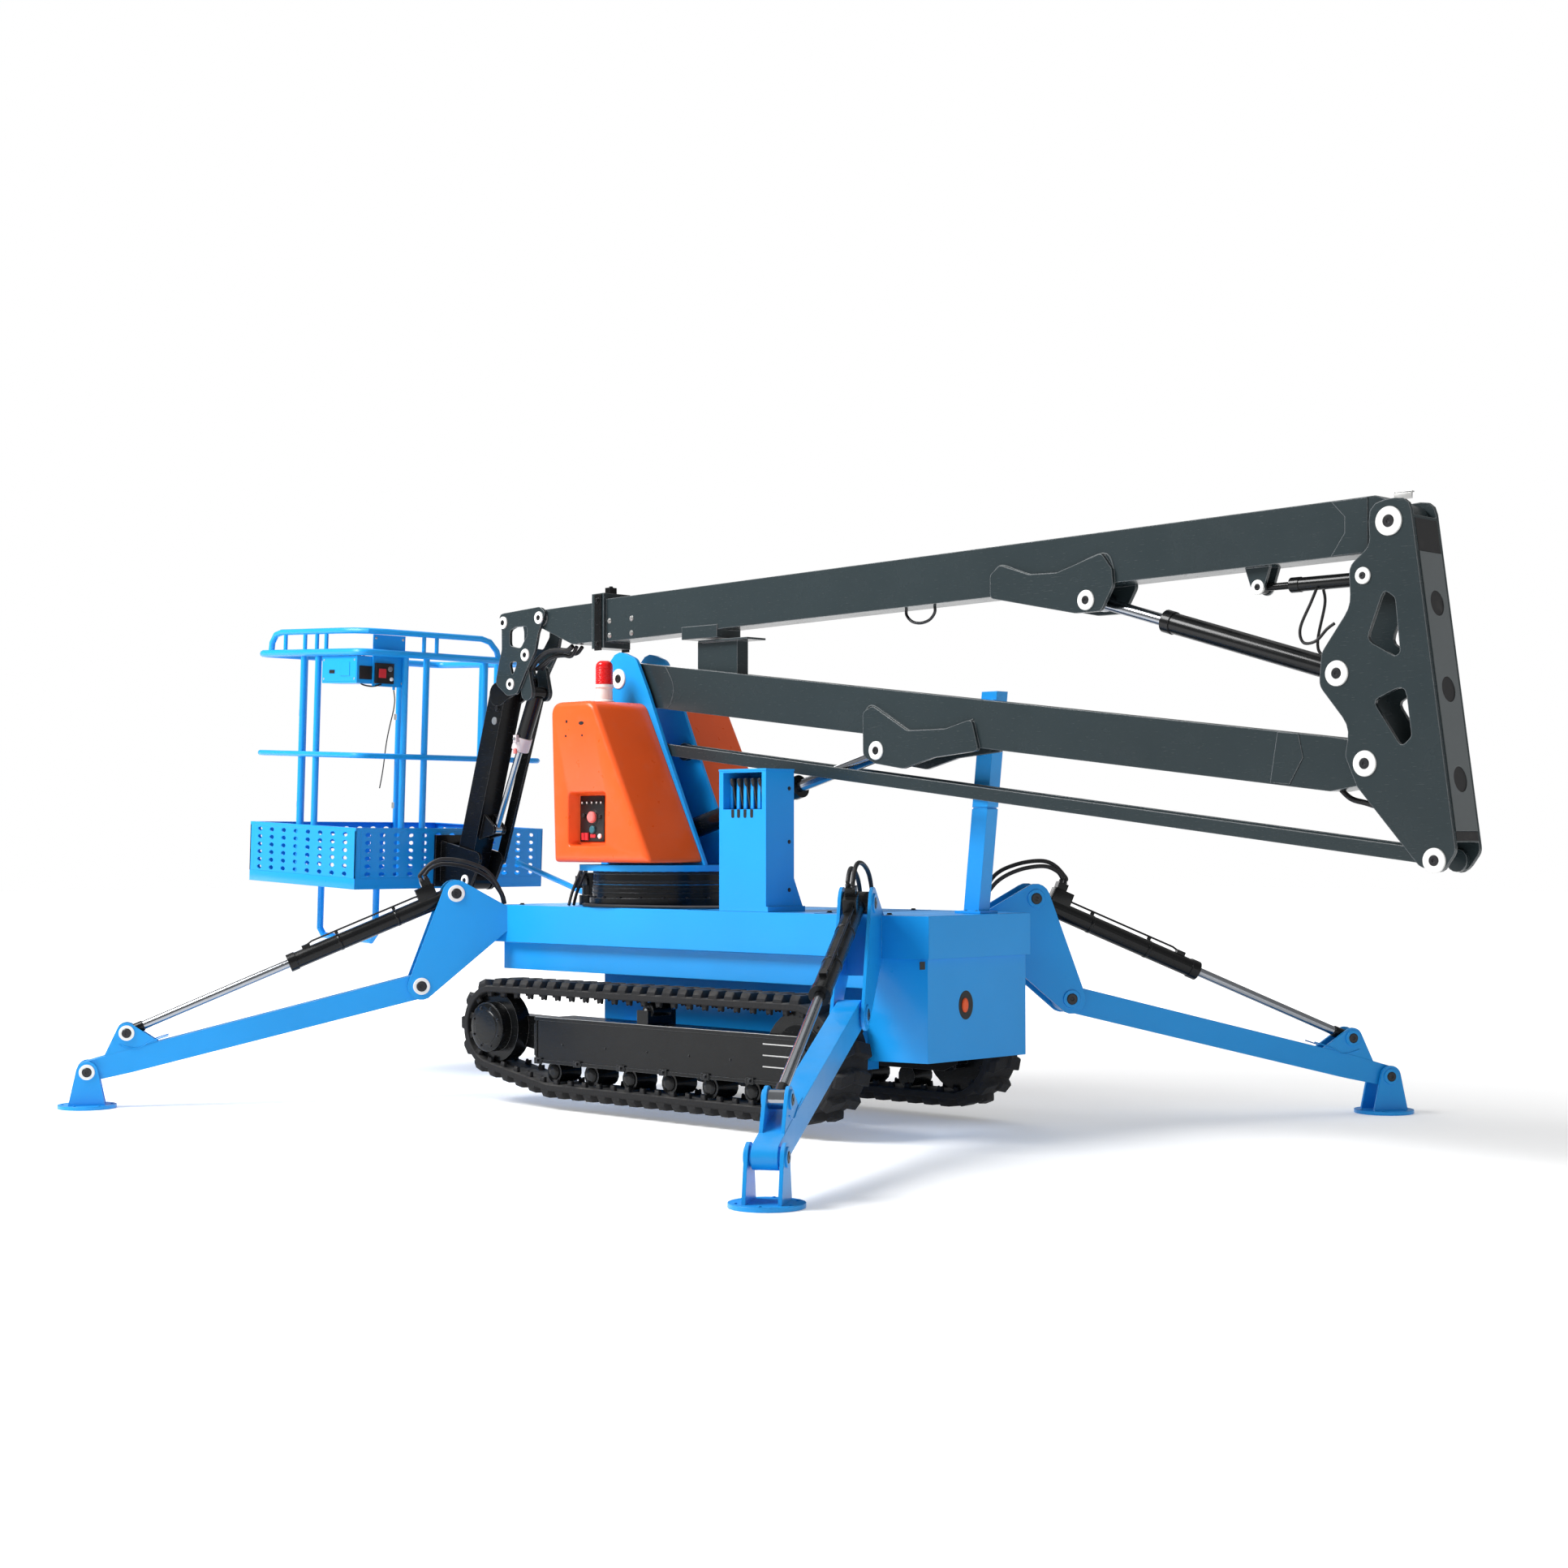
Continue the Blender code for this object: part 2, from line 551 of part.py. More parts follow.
def console(chassis):
    """The valve box with its hand levers, open at the upper part of its outer face."""
    inner = CONSOLE_OUTER + CONSOLE_DEPTH
    base = DECK_TOP + FACE_GAP
    shell = box(CONSOLE_REAR, CONSOLE_FRONT, CONSOLE_OUTER, inner, base, CONSOLE_TOP)
    foot = box(CONSOLE_REAR, CONSOLE_FRONT + 0.010, CONSOLE_OUTER, inner + CONSOLE_FLARE, base, base + 0.020)
    window_bottom = CONSOLE_TOP - 0.150
    hollow = box(CONSOLE_REAR + 0.022, CONSOLE_FRONT - 0.022, CONSOLE_OUTER - 0.05, inner - CONSOLE_WALL,
                 window_bottom, CONSOLE_TOP - 0.012)
    sill = window_bottom + FACE_GAP
    levers = [box(CONSOLE_REAR + 0.040, CONSOLE_FRONT - 0.040, CONSOLE_OUTER + 0.040, CONSOLE_OUTER + 0.070,
                  sill, sill + 0.016)]
    for i in range(LEVER_COUNT):
        x = CONSOLE_REAR + 0.060 + (CONSOLE_FRONT - CONSOLE_REAR - 0.120) * i / (LEVER_COUNT - 1)
        y = CONSOLE_OUTER + 0.055
        levers.append(cylinder((x, y, window_bottom + 0.012), (x, y - 0.020, window_bottom + 0.095),
                               LEVER_RADIUS, 10))
        levers.append(cylinder((x, y - 0.019, window_bottom + 0.085), (x, y - 0.025, window_bottom + 0.115),
                               0.011, 12))
    hollowed = combine(combine(shell, [foot], "UNION"), [hollow], "DIFFERENCE")
    part("valve_console", chassis, BLUE, [hollowed])
    part("console_levers", chassis, BLACK, levers)


def slew_base(chassis):
    centre = (SLEW_X, 0.0)
    plinth = cylinder((*centre, DECK_TOP + FACE_GAP), (*centre, RING_BASE_TOP), RING_RADIUS + 0.012, 40)
    lower = cylinder((*centre, RING_BASE_TOP - 0.002), (*centre, RING_SPLIT), RING_RADIUS, 40)
    part("slew_ring_base", chassis, BLACK, [plinth, lower])


def slew_motor(chassis):
    x, y = SLEW_X - RING_RADIUS - 0.065, -0.075
    base = DECK_TOP + FACE_GAP
    part("slew_motor", chassis, BLACK,
         [cylinder((x, y, base), (x, y, RING_TOP - 0.012), 0.044, 20),
          cylinder((x, y, base), (x, y, base + 0.04), 0.056, 20),
          box(x - 0.075, x, y - 0.03, y + 0.03, RING_SPLIT - 0.02, RING_SPLIT + 0.03)])


def basket_rest(chassis):
    """The bent tube on the deck's rear end that the basket leans on in transport."""
    base = DECK_TOP + FACE_GAP
    y, radius = 0.250, 0.013
    route = [(-0.700, y, base + 0.018), (-0.924, y, base + 0.015), (-1.122, y, base + 0.044),
             (-1.372, y, base + 0.115), (-1.560, y, base + 0.168)]
    part("basket_rest_arm", chassis, BLUE,
         [tube(route, radius, 2), box(-0.82, -0.68, y - 0.04, y + 0.04, base, base + 0.010)])


# Turret

def turret_plates(turret):
    base = RING_SPLIT + FACE_GAP
    top = RING_TOP + TURRET_PLATE
    outline = rounded([(-0.610, top - 0.01, 0.01), (0.012, top - 0.01, 0.01), (-0.224, 1.441, 0.05),
                       (-0.330, 1.672, 0.05), (-0.400, 1.805, 0.05), (-0.520, 1.850, 0.08),
                       (-0.600, 1.740, 0.08), (-0.600, 1.400, 0.05)])
    ring = cylinder((SLEW_X, 0, base), (SLEW_X, 0, RING_TOP + 0.001), RING_RADIUS - 0.004, 40)
    disc = cylinder((SLEW_X, 0, RING_TOP), (SLEW_X, 0, top), TURRET_PLATE_RADIUS, 40)
    pieces = [disc, ring, *plates(outline, TURRET_INNER, TURRET_WALL)]
    pieces.append(box(-0.590, -0.560, -TURRET_INNER - 0.004, TURRET_INNER + 0.004, top - 0.01, 1.440))
    outer = TURRET_INNER + TURRET_WALL
    for side in (-1, 1):
        pieces.append(pin(BOOM_ROOT, 0.040, side * (outer - 0.003), side * (outer + WASHER)))
    part("turret_frame", turret, BLUE, pieces)


COVER_INNER, COVER_OUTER = TURRET_INNER + TURRET_WALL + FACE_GAP, 0.380
COVER_TOP, COVER_BOTTOM = 1.622, 0.978


def cover(turret, name, side):
    """A moulded engine cover: a wedge with rounded edges."""
    corners = [(-0.575, COVER_BOTTOM, 0.02), (-0.006, COVER_BOTTOM, 0.02), (-0.344, COVER_TOP, 0.05),
               (-0.600, COVER_TOP, 0.05)]
    wedge = slab(rounded(corners, 4), side * COVER_INNER, side * COVER_OUTER)
    edges = wedge.modifiers.new("edges", "BEVEL")
    edges.width = 0.022
    edges.segments = 2
    edges.limit_method = "ANGLE"
    edges.angle_limit = radians(60)
    made = baked(wedge)
    cuts = []
    if side < 0:
        cuts.append(box(-0.500, -0.290, -COVER_OUTER - 0.05, -COVER_OUTER + 0.060, 1.045, 1.270))
    part("engine_cover_" + name, turret, ORANGE, [made], cuts)


def beacon(turret):
    x, y, base = -0.470, -0.200, COVER_TOP + FACE_GAP
    part("beacon", turret, RED_LENS,
         [cylinder((x, y, base), (x, y, base + 0.075), 0.040, 20),
          cylinder((x, y, base + 0.074), (x, y, base + 0.150), 0.036, 20),
          cylinder((x, y, base + 0.149), (x, y, base + 0.172), 0.036, 20, 0.020)])


# Booms

REST_REAR, REST_FRONT, REST_TOP = -0.100, 0.124, 1.862      # the post that the upper boom rests on


def lower_boom(body):
    beam = [(x, z - LOWER_DROP) for x, z in bar(BOOM_ROOT, ELBOW_LOW, LOWER_HEIGHT, -0.040, -0.130)]
    outline = around((*BOOM_ROOT, 0.072), (*ELBOW_LOW, 0.062), *[(*corner, 0.0) for corner in beam])
    pieces = [slab(outline, -LOWER_HALF_WIDTH, LOWER_HALF_WIDTH),
               pin(BOOM_ROOT, 0.050, -TURRET_INNER + 0.0008, TURRET_INNER - 0.0008),
               pin(ELBOW_LOW, 0.045, -YOKE_INSIDE + 0.0008, YOKE_INSIDE - 0.0008)]
    x, z = LIFT_EYE
    lug = rounded([(x + a, z + b, radius) for a, b, radius in (
        (-0.066, -0.020, 0.030), (-0.068, 0.145, 0.020), (-0.019, 0.166, 0.020), (0.151, 0.069, 0.040),
        (0.333, 0.070, 0.050), (0.456, 0.101, 0.020), (0.488, -0.013, 0.015), (0.281, -0.032, 0.050),
        (0.131, -0.070, 0.040), (-0.006, -0.048, 0.030))])
    pieces += plates(lug, LOWER_HALF_WIDTH - 0.001, 0.015)
    for side in (-1, 1):
        pieces.append(pin(LIFT_EYE, WASHER_RADIUS, side * 0.072, side * (0.074 + WASHER)))
    pieces.append(box(REST_REAR, REST_FRONT, -0.030, 0.030, 1.650, REST_TOP - 0.004))
    pieces.append(box(REST_REAR + 0.025, REST_FRONT + 0.076, -0.052, 0.052, REST_TOP - 0.008, REST_TOP))
    part("lower_boom", body, GREY, pieces)


def boom_saddle(body):
    """The blue side piece that lands on the rest post."""
    lean = (POST_HEAD[0] - POST_FOOT[0]) / (POST_HEAD[1] - POST_FOOT[1])

    def stretch(z0, z1):
        return [(POST_FOOT[0] + lean * (z - POST_FOOT[1]) + side * POST_HALF, z)
                for z, side in ((z0, -1), (z0, 1), (z1, 1), (z1, -1))]

    bottom = POST_HEAD[1] + RUNNING_GAP
    part("boom_saddle", body, BLUE,
         [slab(stretch(bottom, 1.606), POST_NEAR, POST_FAR),
          slab(stretch(1.510, 1.575), LOWER_HALF_WIDTH + FACE_GAP, POST_NEAR + 0.005)])


def parallel_link(body, name, side):
    """One of the two bars under the lower boom, with the bosses of its pins."""
    outline = [(x, z + LINK_RISE) for x, z in bar(LINK_ROOT, link_far_end(), LINK_HEIGHT)]
    near, far = side * LINK_INSIDE, side * (LINK_INSIDE + LINK_WALL)
    part("parallel_link_" + name, body, GREY,
         [slab(outline, near, far), pin(LINK_ROOT, 0.036, near, side * (TURRET_INNER - 0.0008)),
          pin(link_far_end(), 0.036, near, side * (YOKE_INSIDE - 0.0008))])


YOKE_INSIDE = 0.068
YOKE_CORNERS = [(2.968, 2.120, 0.06), (3.112, 2.128, 0.05), (3.262, 1.030, 0.04), (3.215, 0.966, 0.04),
                (3.140, 0.985, 0.05), (2.925, 1.232, 0.06), (2.882, 1.330, 0.05), (2.900, 1.420, 0.10),
                (2.790, 1.555, 0.05), (2.800, 1.660, 0.05), (2.905, 1.800, 0.10), (2.900, 1.925, 0.05),
                (2.975, 1.985, 0.05)]
YOKE_WINDOWS = [[(3.022, 1.846, 0.02), (3.062, 1.815, 0.02), (3.078, 1.645, 0.02), (3.060, 1.634, 0.02),
                 (2.960, 1.690, 0.03)],
                [(2.981, 1.500, 0.02), (3.095, 1.548, 0.03), (3.116, 1.385, 0.02), (3.080, 1.352, 0.03)]]
YOKE_WEB = 0.012


def yoke(body):
    """The elbow: two plates with windows, joined by the web along their outer edge."""
    outline = rounded(YOKE_CORNERS)
    windows = [rounded(window) for window in YOKE_WINDOWS]
    pieces = plates(outline, YOKE_INSIDE, YOKE_WALL, windows)
    (x1, z1), (x2, z2) = (3.120, 2.070), (3.258, 1.060)
    web = [(x1 - YOKE_WEB, z1), (x2 - YOKE_WEB, z2), (x2, z2), (x1, z1)]
    pieces.append(slab(web, -YOKE_INSIDE - 0.004, YOKE_INSIDE + 0.004))
    outer = YOKE_INSIDE + YOKE_WALL
    for point, radius in ((ELBOW_TOP, 0.045), (UPPER_LIFT_ROOT, 0.040), (ELBOW_LOW, 0.040),
                          (link_far_end(), 0.038), (LEVEL_ROOT, 0.026)):
        for side in (-1, 1):
            pieces.append(pin(point, radius, side * (outer - 0.003), side * (outer + WASHER)))
    part("elbow_yoke", body, GREY, pieces)


def link_far_end():
    return (LINK_ROOT[0] + ELBOW_LOW[0] - BOOM_ROOT[0], LINK_ROOT[1] + ELBOW_LOW[1] - BOOM_ROOT[1])


def upper_line(x):
    """Height of the upper boom's centre line."""
    return ELBOW_TOP[1] + (x - ELBOW_TOP[0]) * UPPER_SLOPE


def upper_section(x0, x1, height, half_width, *ends):
    """A length of the upper boom's box, with rounded ends (x, z, radius)."""
    corners = [(x, upper_line(x) + side * height / 2, 0.0) for x in (x0, x1) for side in (-1, 1)]
    return slab(around(*corners, *ends), -half_width, half_width)


def upper_boom(body):
    front = ELBOW_TOP[0] - 0.060
    pieces = [upper_section(UPPER_REAR, front, UPPER_HEIGHT, UPPER_HALF_WIDTH, (*ELBOW_TOP, 0.060)),
              pin(ELBOW_TOP, 0.050, -YOKE_INSIDE + 0.0008, YOKE_INSIDE - 0.0008),
              upper_section(UPPER_REAR - 0.070, UPPER_REAR + 0.004, UPPER_HEIGHT + 0.050,
                            UPPER_HALF_WIDTH + 0.014)]
    x, z = UPPER_LIFT_EYE
    lug = rounded([(x + a, z + b, radius) for a, b, radius in (
        (-0.424, 0.035, 0.020), (-0.250, -0.001, 0.060), (-0.050, -0.042, 0.040), (0.062, -0.042, 0.030),
        (0.113, 0.043, 0.030), (0.109, 0.099, 0.030), (0.064, 0.157, 0.020), (-0.126, 0.104, 0.050),
        (-0.249, 0.107, 0.040), (-0.379, 0.150, 0.020), (-0.424, 0.118, 0.020))])
    pieces += plates(lug, UPPER_HALF_WIDTH - 0.001, 0.015)
    for side in (-1, 1):
        pieces.append(pin(UPPER_LIFT_EYE, WASHER_RADIUS, side * 0.072, side * (0.074 + WASHER)))
    ex, ez = LEVEL_EYE
    underside = upper_line(ex) - UPPER_HEIGHT / 2
    ear = around((ex, ez, 0.024), (ex - 0.03, underside + 0.01, 0.02), (ex + 0.03, underside + 0.01, 0.02))
    pieces += plates(ear, 0.0205, 0.012)
    block_top = upper_line(-0.06) - UPPER_HEIGHT / 2 + 0.02
    pieces.append(box(-0.156, 0.045, -0.066, 0.066, REST_TOP + RUNNING_GAP + 0.0005, block_top))
    bore_height, bore_half = UPPER_HEIGHT / 2 - UPPER_WALL, UPPER_HALF_WIDTH - UPPER_WALL
    bore = upper_section(UPPER_REAR - 0.30, front - 0.20, bore_height * 2, bore_half)
    part("upper_boom", body, GREY, pieces, [bore])


def telescopic_section(body):
    half = UPPER_HALF_WIDTH - UPPER_WALL - INNER_CLEARANCE
    height = UPPER_HEIGHT - 2 * (UPPER_WALL + INNER_CLEARANCE)
    pieces = [upper_section(HEAD_PIN[0] + TELESCOPE_NOSE, INNER_FRONT, height, half,
                            (HEAD_PIN[0], HEAD_PIN[1] - 0.004, 0.038)),
              pin(HEAD_PIN, 0.034, -HEAD_INSIDE + 0.0008, HEAD_INSIDE - 0.0008)]
    hollow = upper_section(HEAD_PIN[0] + TELESCOPE_NOSE + 0.065, INNER_FRONT + 0.100,
                           height - 2 * INNER_WALL, half - INNER_WALL)
    part("telescopic_section", body, GREY, pieces, [hollow])


HEAD_INSIDE, HEAD_WALL = 0.056, 0.014
JIB_CHEEK = 0.040           # inner face of the jib's upper cheeks
JIB_LUG_INSIDE = 0.040      # inner face of the plates that hold the jib cylinder's root


def jib_head(body):
    """The knuckle between the telescopic section and the jib: two plates with windows."""
    outline = rounded([(-1.306, 2.045, 0.045), (-1.030, 2.060, 0.030), (-0.992, 2.035, 0.030),
                       (-1.040, 1.950, 0.030), (-1.060, 1.875, 0.030), (-1.120, 1.790, 0.030),
                       (-1.180, 1.695, 0.030), (-1.245, 1.688, 0.030), (-1.325, 1.745, 0.030),
                       (-1.300, 1.835, 0.050), (-1.282, 1.890, 0.050), (-1.283, 1.975, 0.030)])
    windows = [rounded([(-1.228, 1.970, 0.02), (-1.190, 1.983, 0.02), (-1.111, 1.983, 0.02),
                        (-1.114, 1.940, 0.02), (-1.155, 1.890, 0.02), (-1.228, 1.903, 0.02)]),
               rounded([(-1.232, 1.833, 0.015), (-1.175, 1.835, 0.015), (-1.195, 1.795, 0.015),
                        (-1.212, 1.775, 0.015)])]
    pieces = plates(outline, HEAD_INSIDE, HEAD_WALL, windows)
    pieces.append(box(-1.262, -1.110, -HEAD_INSIDE - 0.004, HEAD_INSIDE + 0.004, 2.028, 2.044))
    lug = around((-1.145, 1.790, 0.028), (*JIB_LIFT_ROOT, 0.036))
    pieces += plates(lug, JIB_LUG_INSIDE, HEAD_INSIDE + 0.0015 - JIB_LUG_INSIDE)
    outer = HEAD_INSIDE + HEAD_WALL
    for point, radius in ((HEAD_PIN, 0.026), ((-1.272, 2.006), 0.026), ((-1.124, 1.859), 0.026),
                          (JIB_ROOT, 0.024)):
        pieces.append(pin(point, radius, -outer + 0.003, -outer - WASHER))
    pieces.append(pin(link_top(), 0.016, outer - 0.003, outer + 0.020))
    part("jib_head", body, GREY, pieces)


def link_top():
    return (JIB_ROOT[0] + JIB_LINK_OFFSET[0], JIB_ROOT[1] + JIB_LINK_OFFSET[1])


def link_bottom():
    return (JIB_END[0] + JIB_LINK_OFFSET[0], JIB_END[1] + JIB_LINK_OFFSET[1])


def jib(body):
    """The jib's beam, with the cheeks and lugs that reach its two pins and the rod's eye."""
    half = JIB_HEIGHT / 2
    pieces = [slab(around((*JIB_TOP, half), (*JIB_LOW, half)), -JIB_HALF_WIDTH, JIB_HALF_WIDTH),
              slab(around((*JIB_END, 0.040), (*JIB_LOW, half)), -JIB_HALF_WIDTH + 0.004, JIB_HALF_WIDTH - 0.004),
              pin(JIB_END, 0.030, -HEAD_INSIDE + 0.0008, HEAD_INSIDE - 0.0008)]
    pieces += plates(around((*JIB_ROOT, 0.038), (*JIB_TOP, half)), JIB_CHEEK, JIB_HALF_WIDTH + 0.002 - JIB_CHEEK)
    for side in (-1, 1):
        pieces.append(pin(JIB_ROOT, 0.030, side * JIB_CHEEK, side * (HEAD_INSIDE - 0.0008)))
    ear = around((*JIB_LIFT_EYE, 0.024), *[(*along(JIB_TOP, JIB_LOW, reach), 0.030) for reach in (0.54, 0.64)])
    pieces += plates(ear, 0.0205, 0.0135)
    part("jib", body, GREY, pieces)


def jib_link(body):
    near = HEAD_INSIDE + HEAD_WALL + 0.0008
    outline = around((*link_top(), 0.026), (*link_bottom(), 0.026), sides=16)
    holes = [circle(point, PIN_GAP + 0.016, 16) for point in (link_top(), link_bottom())]
    part("jib_link", body, BLACK, [slab(outline, near, near + 0.014, holes)])


# Basket, upright in its own frame and tilted as it stands in transport

TILT = (Matrix.Translation((BASKET_FRONT, 0.0, BASKET_FLOOR)) @ Matrix.Rotation(radians(BASKET_TILT), 4, "Y")
        @ Matrix.Translation((-BASKET_FRONT, 0.0, -BASKET_FLOOR)))


def ring(z, inset=0.0, corner=0.06, steps=4):
    """A closed rail round the basket at one height."""
    x0, x1 = BASKET_FRONT - BASKET_LENGTH + inset, BASKET_FRONT - inset
    y0, y1 = -BASKET_WIDTH / 2 + inset, BASKET_WIDTH / 2 - inset
    return [(x, y, z) for x, y in rounded([(x0, y0, corner), (x1, y0, corner), (x1, y1, corner),
                                           (x0, y1, corner)], steps)]


def basket(body):
    """The floor tray with its toe boards, and the bracket the jib's end and its link are pinned to."""
    x1, x0 = BASKET_FRONT, BASKET_FRONT - BASKET_LENGTH
    half = BASKET_WIDTH / 2
    shell = box(x0, x1, -half, half, BASKET_FLOOR, BASKET_FLOOR + TOE_HEIGHT)
    hollow = box(x0 + TOE_WALL, x1 - TOE_WALL, -half + TOE_WALL, half - TOE_WALL,
                 FLOOR_TOP, BASKET_FLOOR + TOE_HEIGHT + 0.1)
    part("basket_tray", body, BLUE, [combine(shell, [hollow], "DIFFERENCE")], frame=TILT)
    plate_x = BASKET_FRONT + FACE_GAP
    plate = box(plate_x, plate_x + 0.012, -0.10, 0.10, 0.862, 1.090)
    plate.data.transform(TILT)
    (jx, jz), (lx, lz) = JIB_END, link_bottom()
    roots = [TILT @ Vector((plate_x + 0.006, 0.0, z)) for z in (0.885, 1.065)]
    lug = around((jx, jz, 0.042), (lx, lz, 0.030), *[(root.x, root.z, 0.0) for root in roots])
    outer = HEAD_INSIDE + HEAD_WALL
    part("basket_bracket", body, GREY,
         [plate, *plates(lug, HEAD_INSIDE, HEAD_WALL), pin(link_bottom(), 0.016, outer - 0.003, outer + 0.020),
          pin(JIB_END, 0.024, 0.003 - outer, -outer - WASHER)])


def basket_rails(body):
    """Top rail, mid rail, the raised rail over the near front corner, and the posts in the toe boards."""
    x1, x0 = BASKET_FRONT, BASKET_FRONT - BASKET_LENGTH
    side, front = -BASKET_WIDTH / 2 + RAIL_INSET, x1 - RAIL_INSET
    pieces = [tube(ring(RAIL_TOP, RAIL_INSET), RAIL_RADIUS, 3, True),
              tube(ring(RAIL_MID, RAIL_INSET), RAIL_RADIUS * 0.8, 3, True)]
    corner = [(front - 0.150, side), (front - 0.075, side + 0.011), (front - 0.022, side + 0.050),
              (front, side + 0.130)]
    raised = [(x0 + 0.110, side, RAIL_TOP), (x0 + 0.116, side, RAIL_HIGH - 0.045),
              (x0 + 0.145, side, RAIL_HIGH - 0.010), (x0 + 0.190, side, RAIL_HIGH),
              *[(x, y, RAIL_HIGH) for x, y in corner],
              (front, 0.140, RAIL_HIGH), (front, 0.190, RAIL_HIGH - 0.012), (front, 0.230, RAIL_HIGH - 0.050),
              (front, 0.245, RAIL_TOP)]
    pieces.append(tube(raised, RAIL_RADIUS * 0.85, 3))
    inset = TOE_WALL + POST_RADIUS + FACE_GAP
    reach = BASKET_WIDTH / 2 - inset
    posts = [(x1 - back, flip * reach) for back in (0.450, 0.340) for flip in (-1, 1)]
    posts += [(x1 - inset, y) for y in (-0.270, -0.155, 0.175)] + [(x0 + inset, y) for y in (-0.270, 0.270)]
    for x, y in posts:
        pieces.append(cylinder((x, y, FLOOR_TOP + 0.012), (x, y, RAIL_TOP), POST_RADIUS, 12))
    risers = [(x1 - back, side) for back in (0.580, 0.430, 0.340, 0.270)] + [(front, y) for y in (-0.180, -0.110)]
    for x, y in risers:
        pieces.append(cylinder((x, y, RAIL_TOP), (x, y, RAIL_HIGH), 0.009, 10))
    part("basket_rails", body, BLUE, pieces, frame=TILT)


def basket_step(body):
    top, bend = BASKET_FLOOR - FACE_GAP, 0.030
    route = [(STEP_REAR, top), (STEP_REAR, STEP_BOTTOM + bend), (STEP_REAR + bend, STEP_BOTTOM),
             (STEP_FRONT - bend, STEP_BOTTOM), (STEP_FRONT, STEP_BOTTOM + bend), (STEP_FRONT, top)]
    part("basket_step", body, BLUE, [tube([(x, STEP_Y, z) for x, z in route], 0.015, 4)], frame=TILT)


def control_box(body):
    """The box hung under the near rail."""
    side = -BASKET_WIDTH / 2 + RAIL_INSET + 0.004
    part("basket_control_box", body, BLUE,
         [box(BASKET_FRONT - 0.300, BASKET_FRONT - 0.045, side, -0.400, 1.745,
              RAIL_TOP - RAIL_RADIUS - FACE_GAP)], frame=TILT)


def instrument_plate(body):
    """The flat plate inside the front posts, with the gland that its cable hangs from."""
    face = BASKET_FRONT - TOE_WALL - 2 * (POST_RADIUS + FACE_GAP)
    plate = box(face - PLATE_WALL, face, PLATE_Y0, PLATE_Y1, PLATE_BOTTOM, PLATE_TOP)
    x, y = face - PLATE_WALL / 2, CABLE_ROUTE[0][1]
    gland = cylinder((x, y, PLATE_BOTTOM - GLAND_LENGTH), (x, y, PLATE_BOTTOM + 0.004), GLAND_RADIUS, 16)
    part("basket_instrument_plate", body, BLUE, [plate, gland], frame=TILT)


CABLE_ROUTE = [(-1.7220, -0.3170, 1.7230), (-1.7222, -0.3135, 1.7050), (-1.7226, -0.3108, 1.6800),
               (-1.7236, -0.3130, 1.6500), (-1.7252, -0.3195, 1.6180), (-1.7272, -0.3275, 1.5860),
               (-1.7292, -0.3350, 1.5540), (-1.7310, -0.3418, 1.5220), (-1.7326, -0.3474, 1.4900),
               (-1.7340, -0.3518, 1.4580), (-1.7350, -0.3556, 1.4260), (-1.7358, -0.3596, 1.3940),
               (-1.7366, -0.3650, 1.3600), (-1.7374, -0.3716, 1.3260), (-1.7380, -0.3790, 1.2930)]


def smooth(points, steps):
    """Points read from the smooth curve through a route's own points."""
    route = [Vector(point) for point in (points[0], *points, points[-1])]
    found = []
    for i in range(1, len(route) - 2):
        a, b, c, d = route[i - 1:i + 3]
        for k in range(steps):
            t = k / steps
            found.append(b + ((c - a) * t + (2 * a - 5 * b + 4 * c - d) * t * t
                              + (3 * b - a - 3 * c + d) * t ** 3) / 2)
    return found + [route[-1]]


def basket_cable(body):
    """The thin cable that hangs from the instrument plate inside the front rails, its end bare."""
    part("basket_cable", body, CABLE, [tube(smooth(CABLE_ROUTE, 2), CABLE_RADIUS, 2)])


# Outriggers

def leg(name, bodies, frame):
    leg_body, foot_body, barrel_body, rod_body = bodies
    tip = along(LEG_PIVOT, FOOT_PIN, span(LEG_PIVOT, FOOT_PIN) - 0.16)
    half = LEG_HALF_WIDTH
    boss = BRACKET_INSIDE - 0.0008
    pieces = [slab(around((*LEG_PIVOT, 0.050), (*tip, LEG_HEIGHT * 0.46), (*FOOT_PIN, 0.040)), -half, half),
              pin(LEG_PIVOT, 0.036, -boss, boss), pin(FOOT_PIN, 0.030, -boss, boss)]
    ear = around((*LEG_ROD_PIN, 0.040), (*along(LEG_PIVOT, FOOT_PIN, 1.06), 0.030),
                 (*along(LEG_PIVOT, FOOT_PIN, 1.27), 0.034))
    pieces += plates(ear, half - 0.013, 0.012)
    for side in (-1, 1):
        pieces.append(pin(LEG_ROD_PIN, 0.030, side * (half - 0.004), side * (half + WASHER)))
    part("leg_" + name, leg_body, BLUE, pieces, frame=frame)
    foot_plate = around((*FOOT_PIN, 0.042), (FOOT_PIN[0] - 0.065, PAD_THICKNESS, 0.006),
                        (FOOT_PIN[0] + 0.065, PAD_THICKNESS, 0.006))
    outer = BRACKET_INSIDE + 0.012
    pieces = [cylinder((FOOT_PIN[0], 0, 0), (FOOT_PIN[0], 0, PAD_THICKNESS), PAD_RADIUS, 24),
              *plates(foot_plate, BRACKET_INSIDE, 0.012)]
    for side in (-1, 1):
        pieces.append(pin(FOOT_PIN, 0.030, side * (outer - 0.003), side * (outer + WASHER)))
    part("foot_" + name, foot_body, BLUE, pieces, frame=frame)
    hydraulic("leg_cylinder_" + name, barrel_body, rod_body, LEG_CYLINDER_PIN, LEG_ROD_PIN, (0.730, 0.750),
              (0.034, 0.0175), (0.040, ROOT_EYE_HALF), (0.030, half - 0.0138), frame)


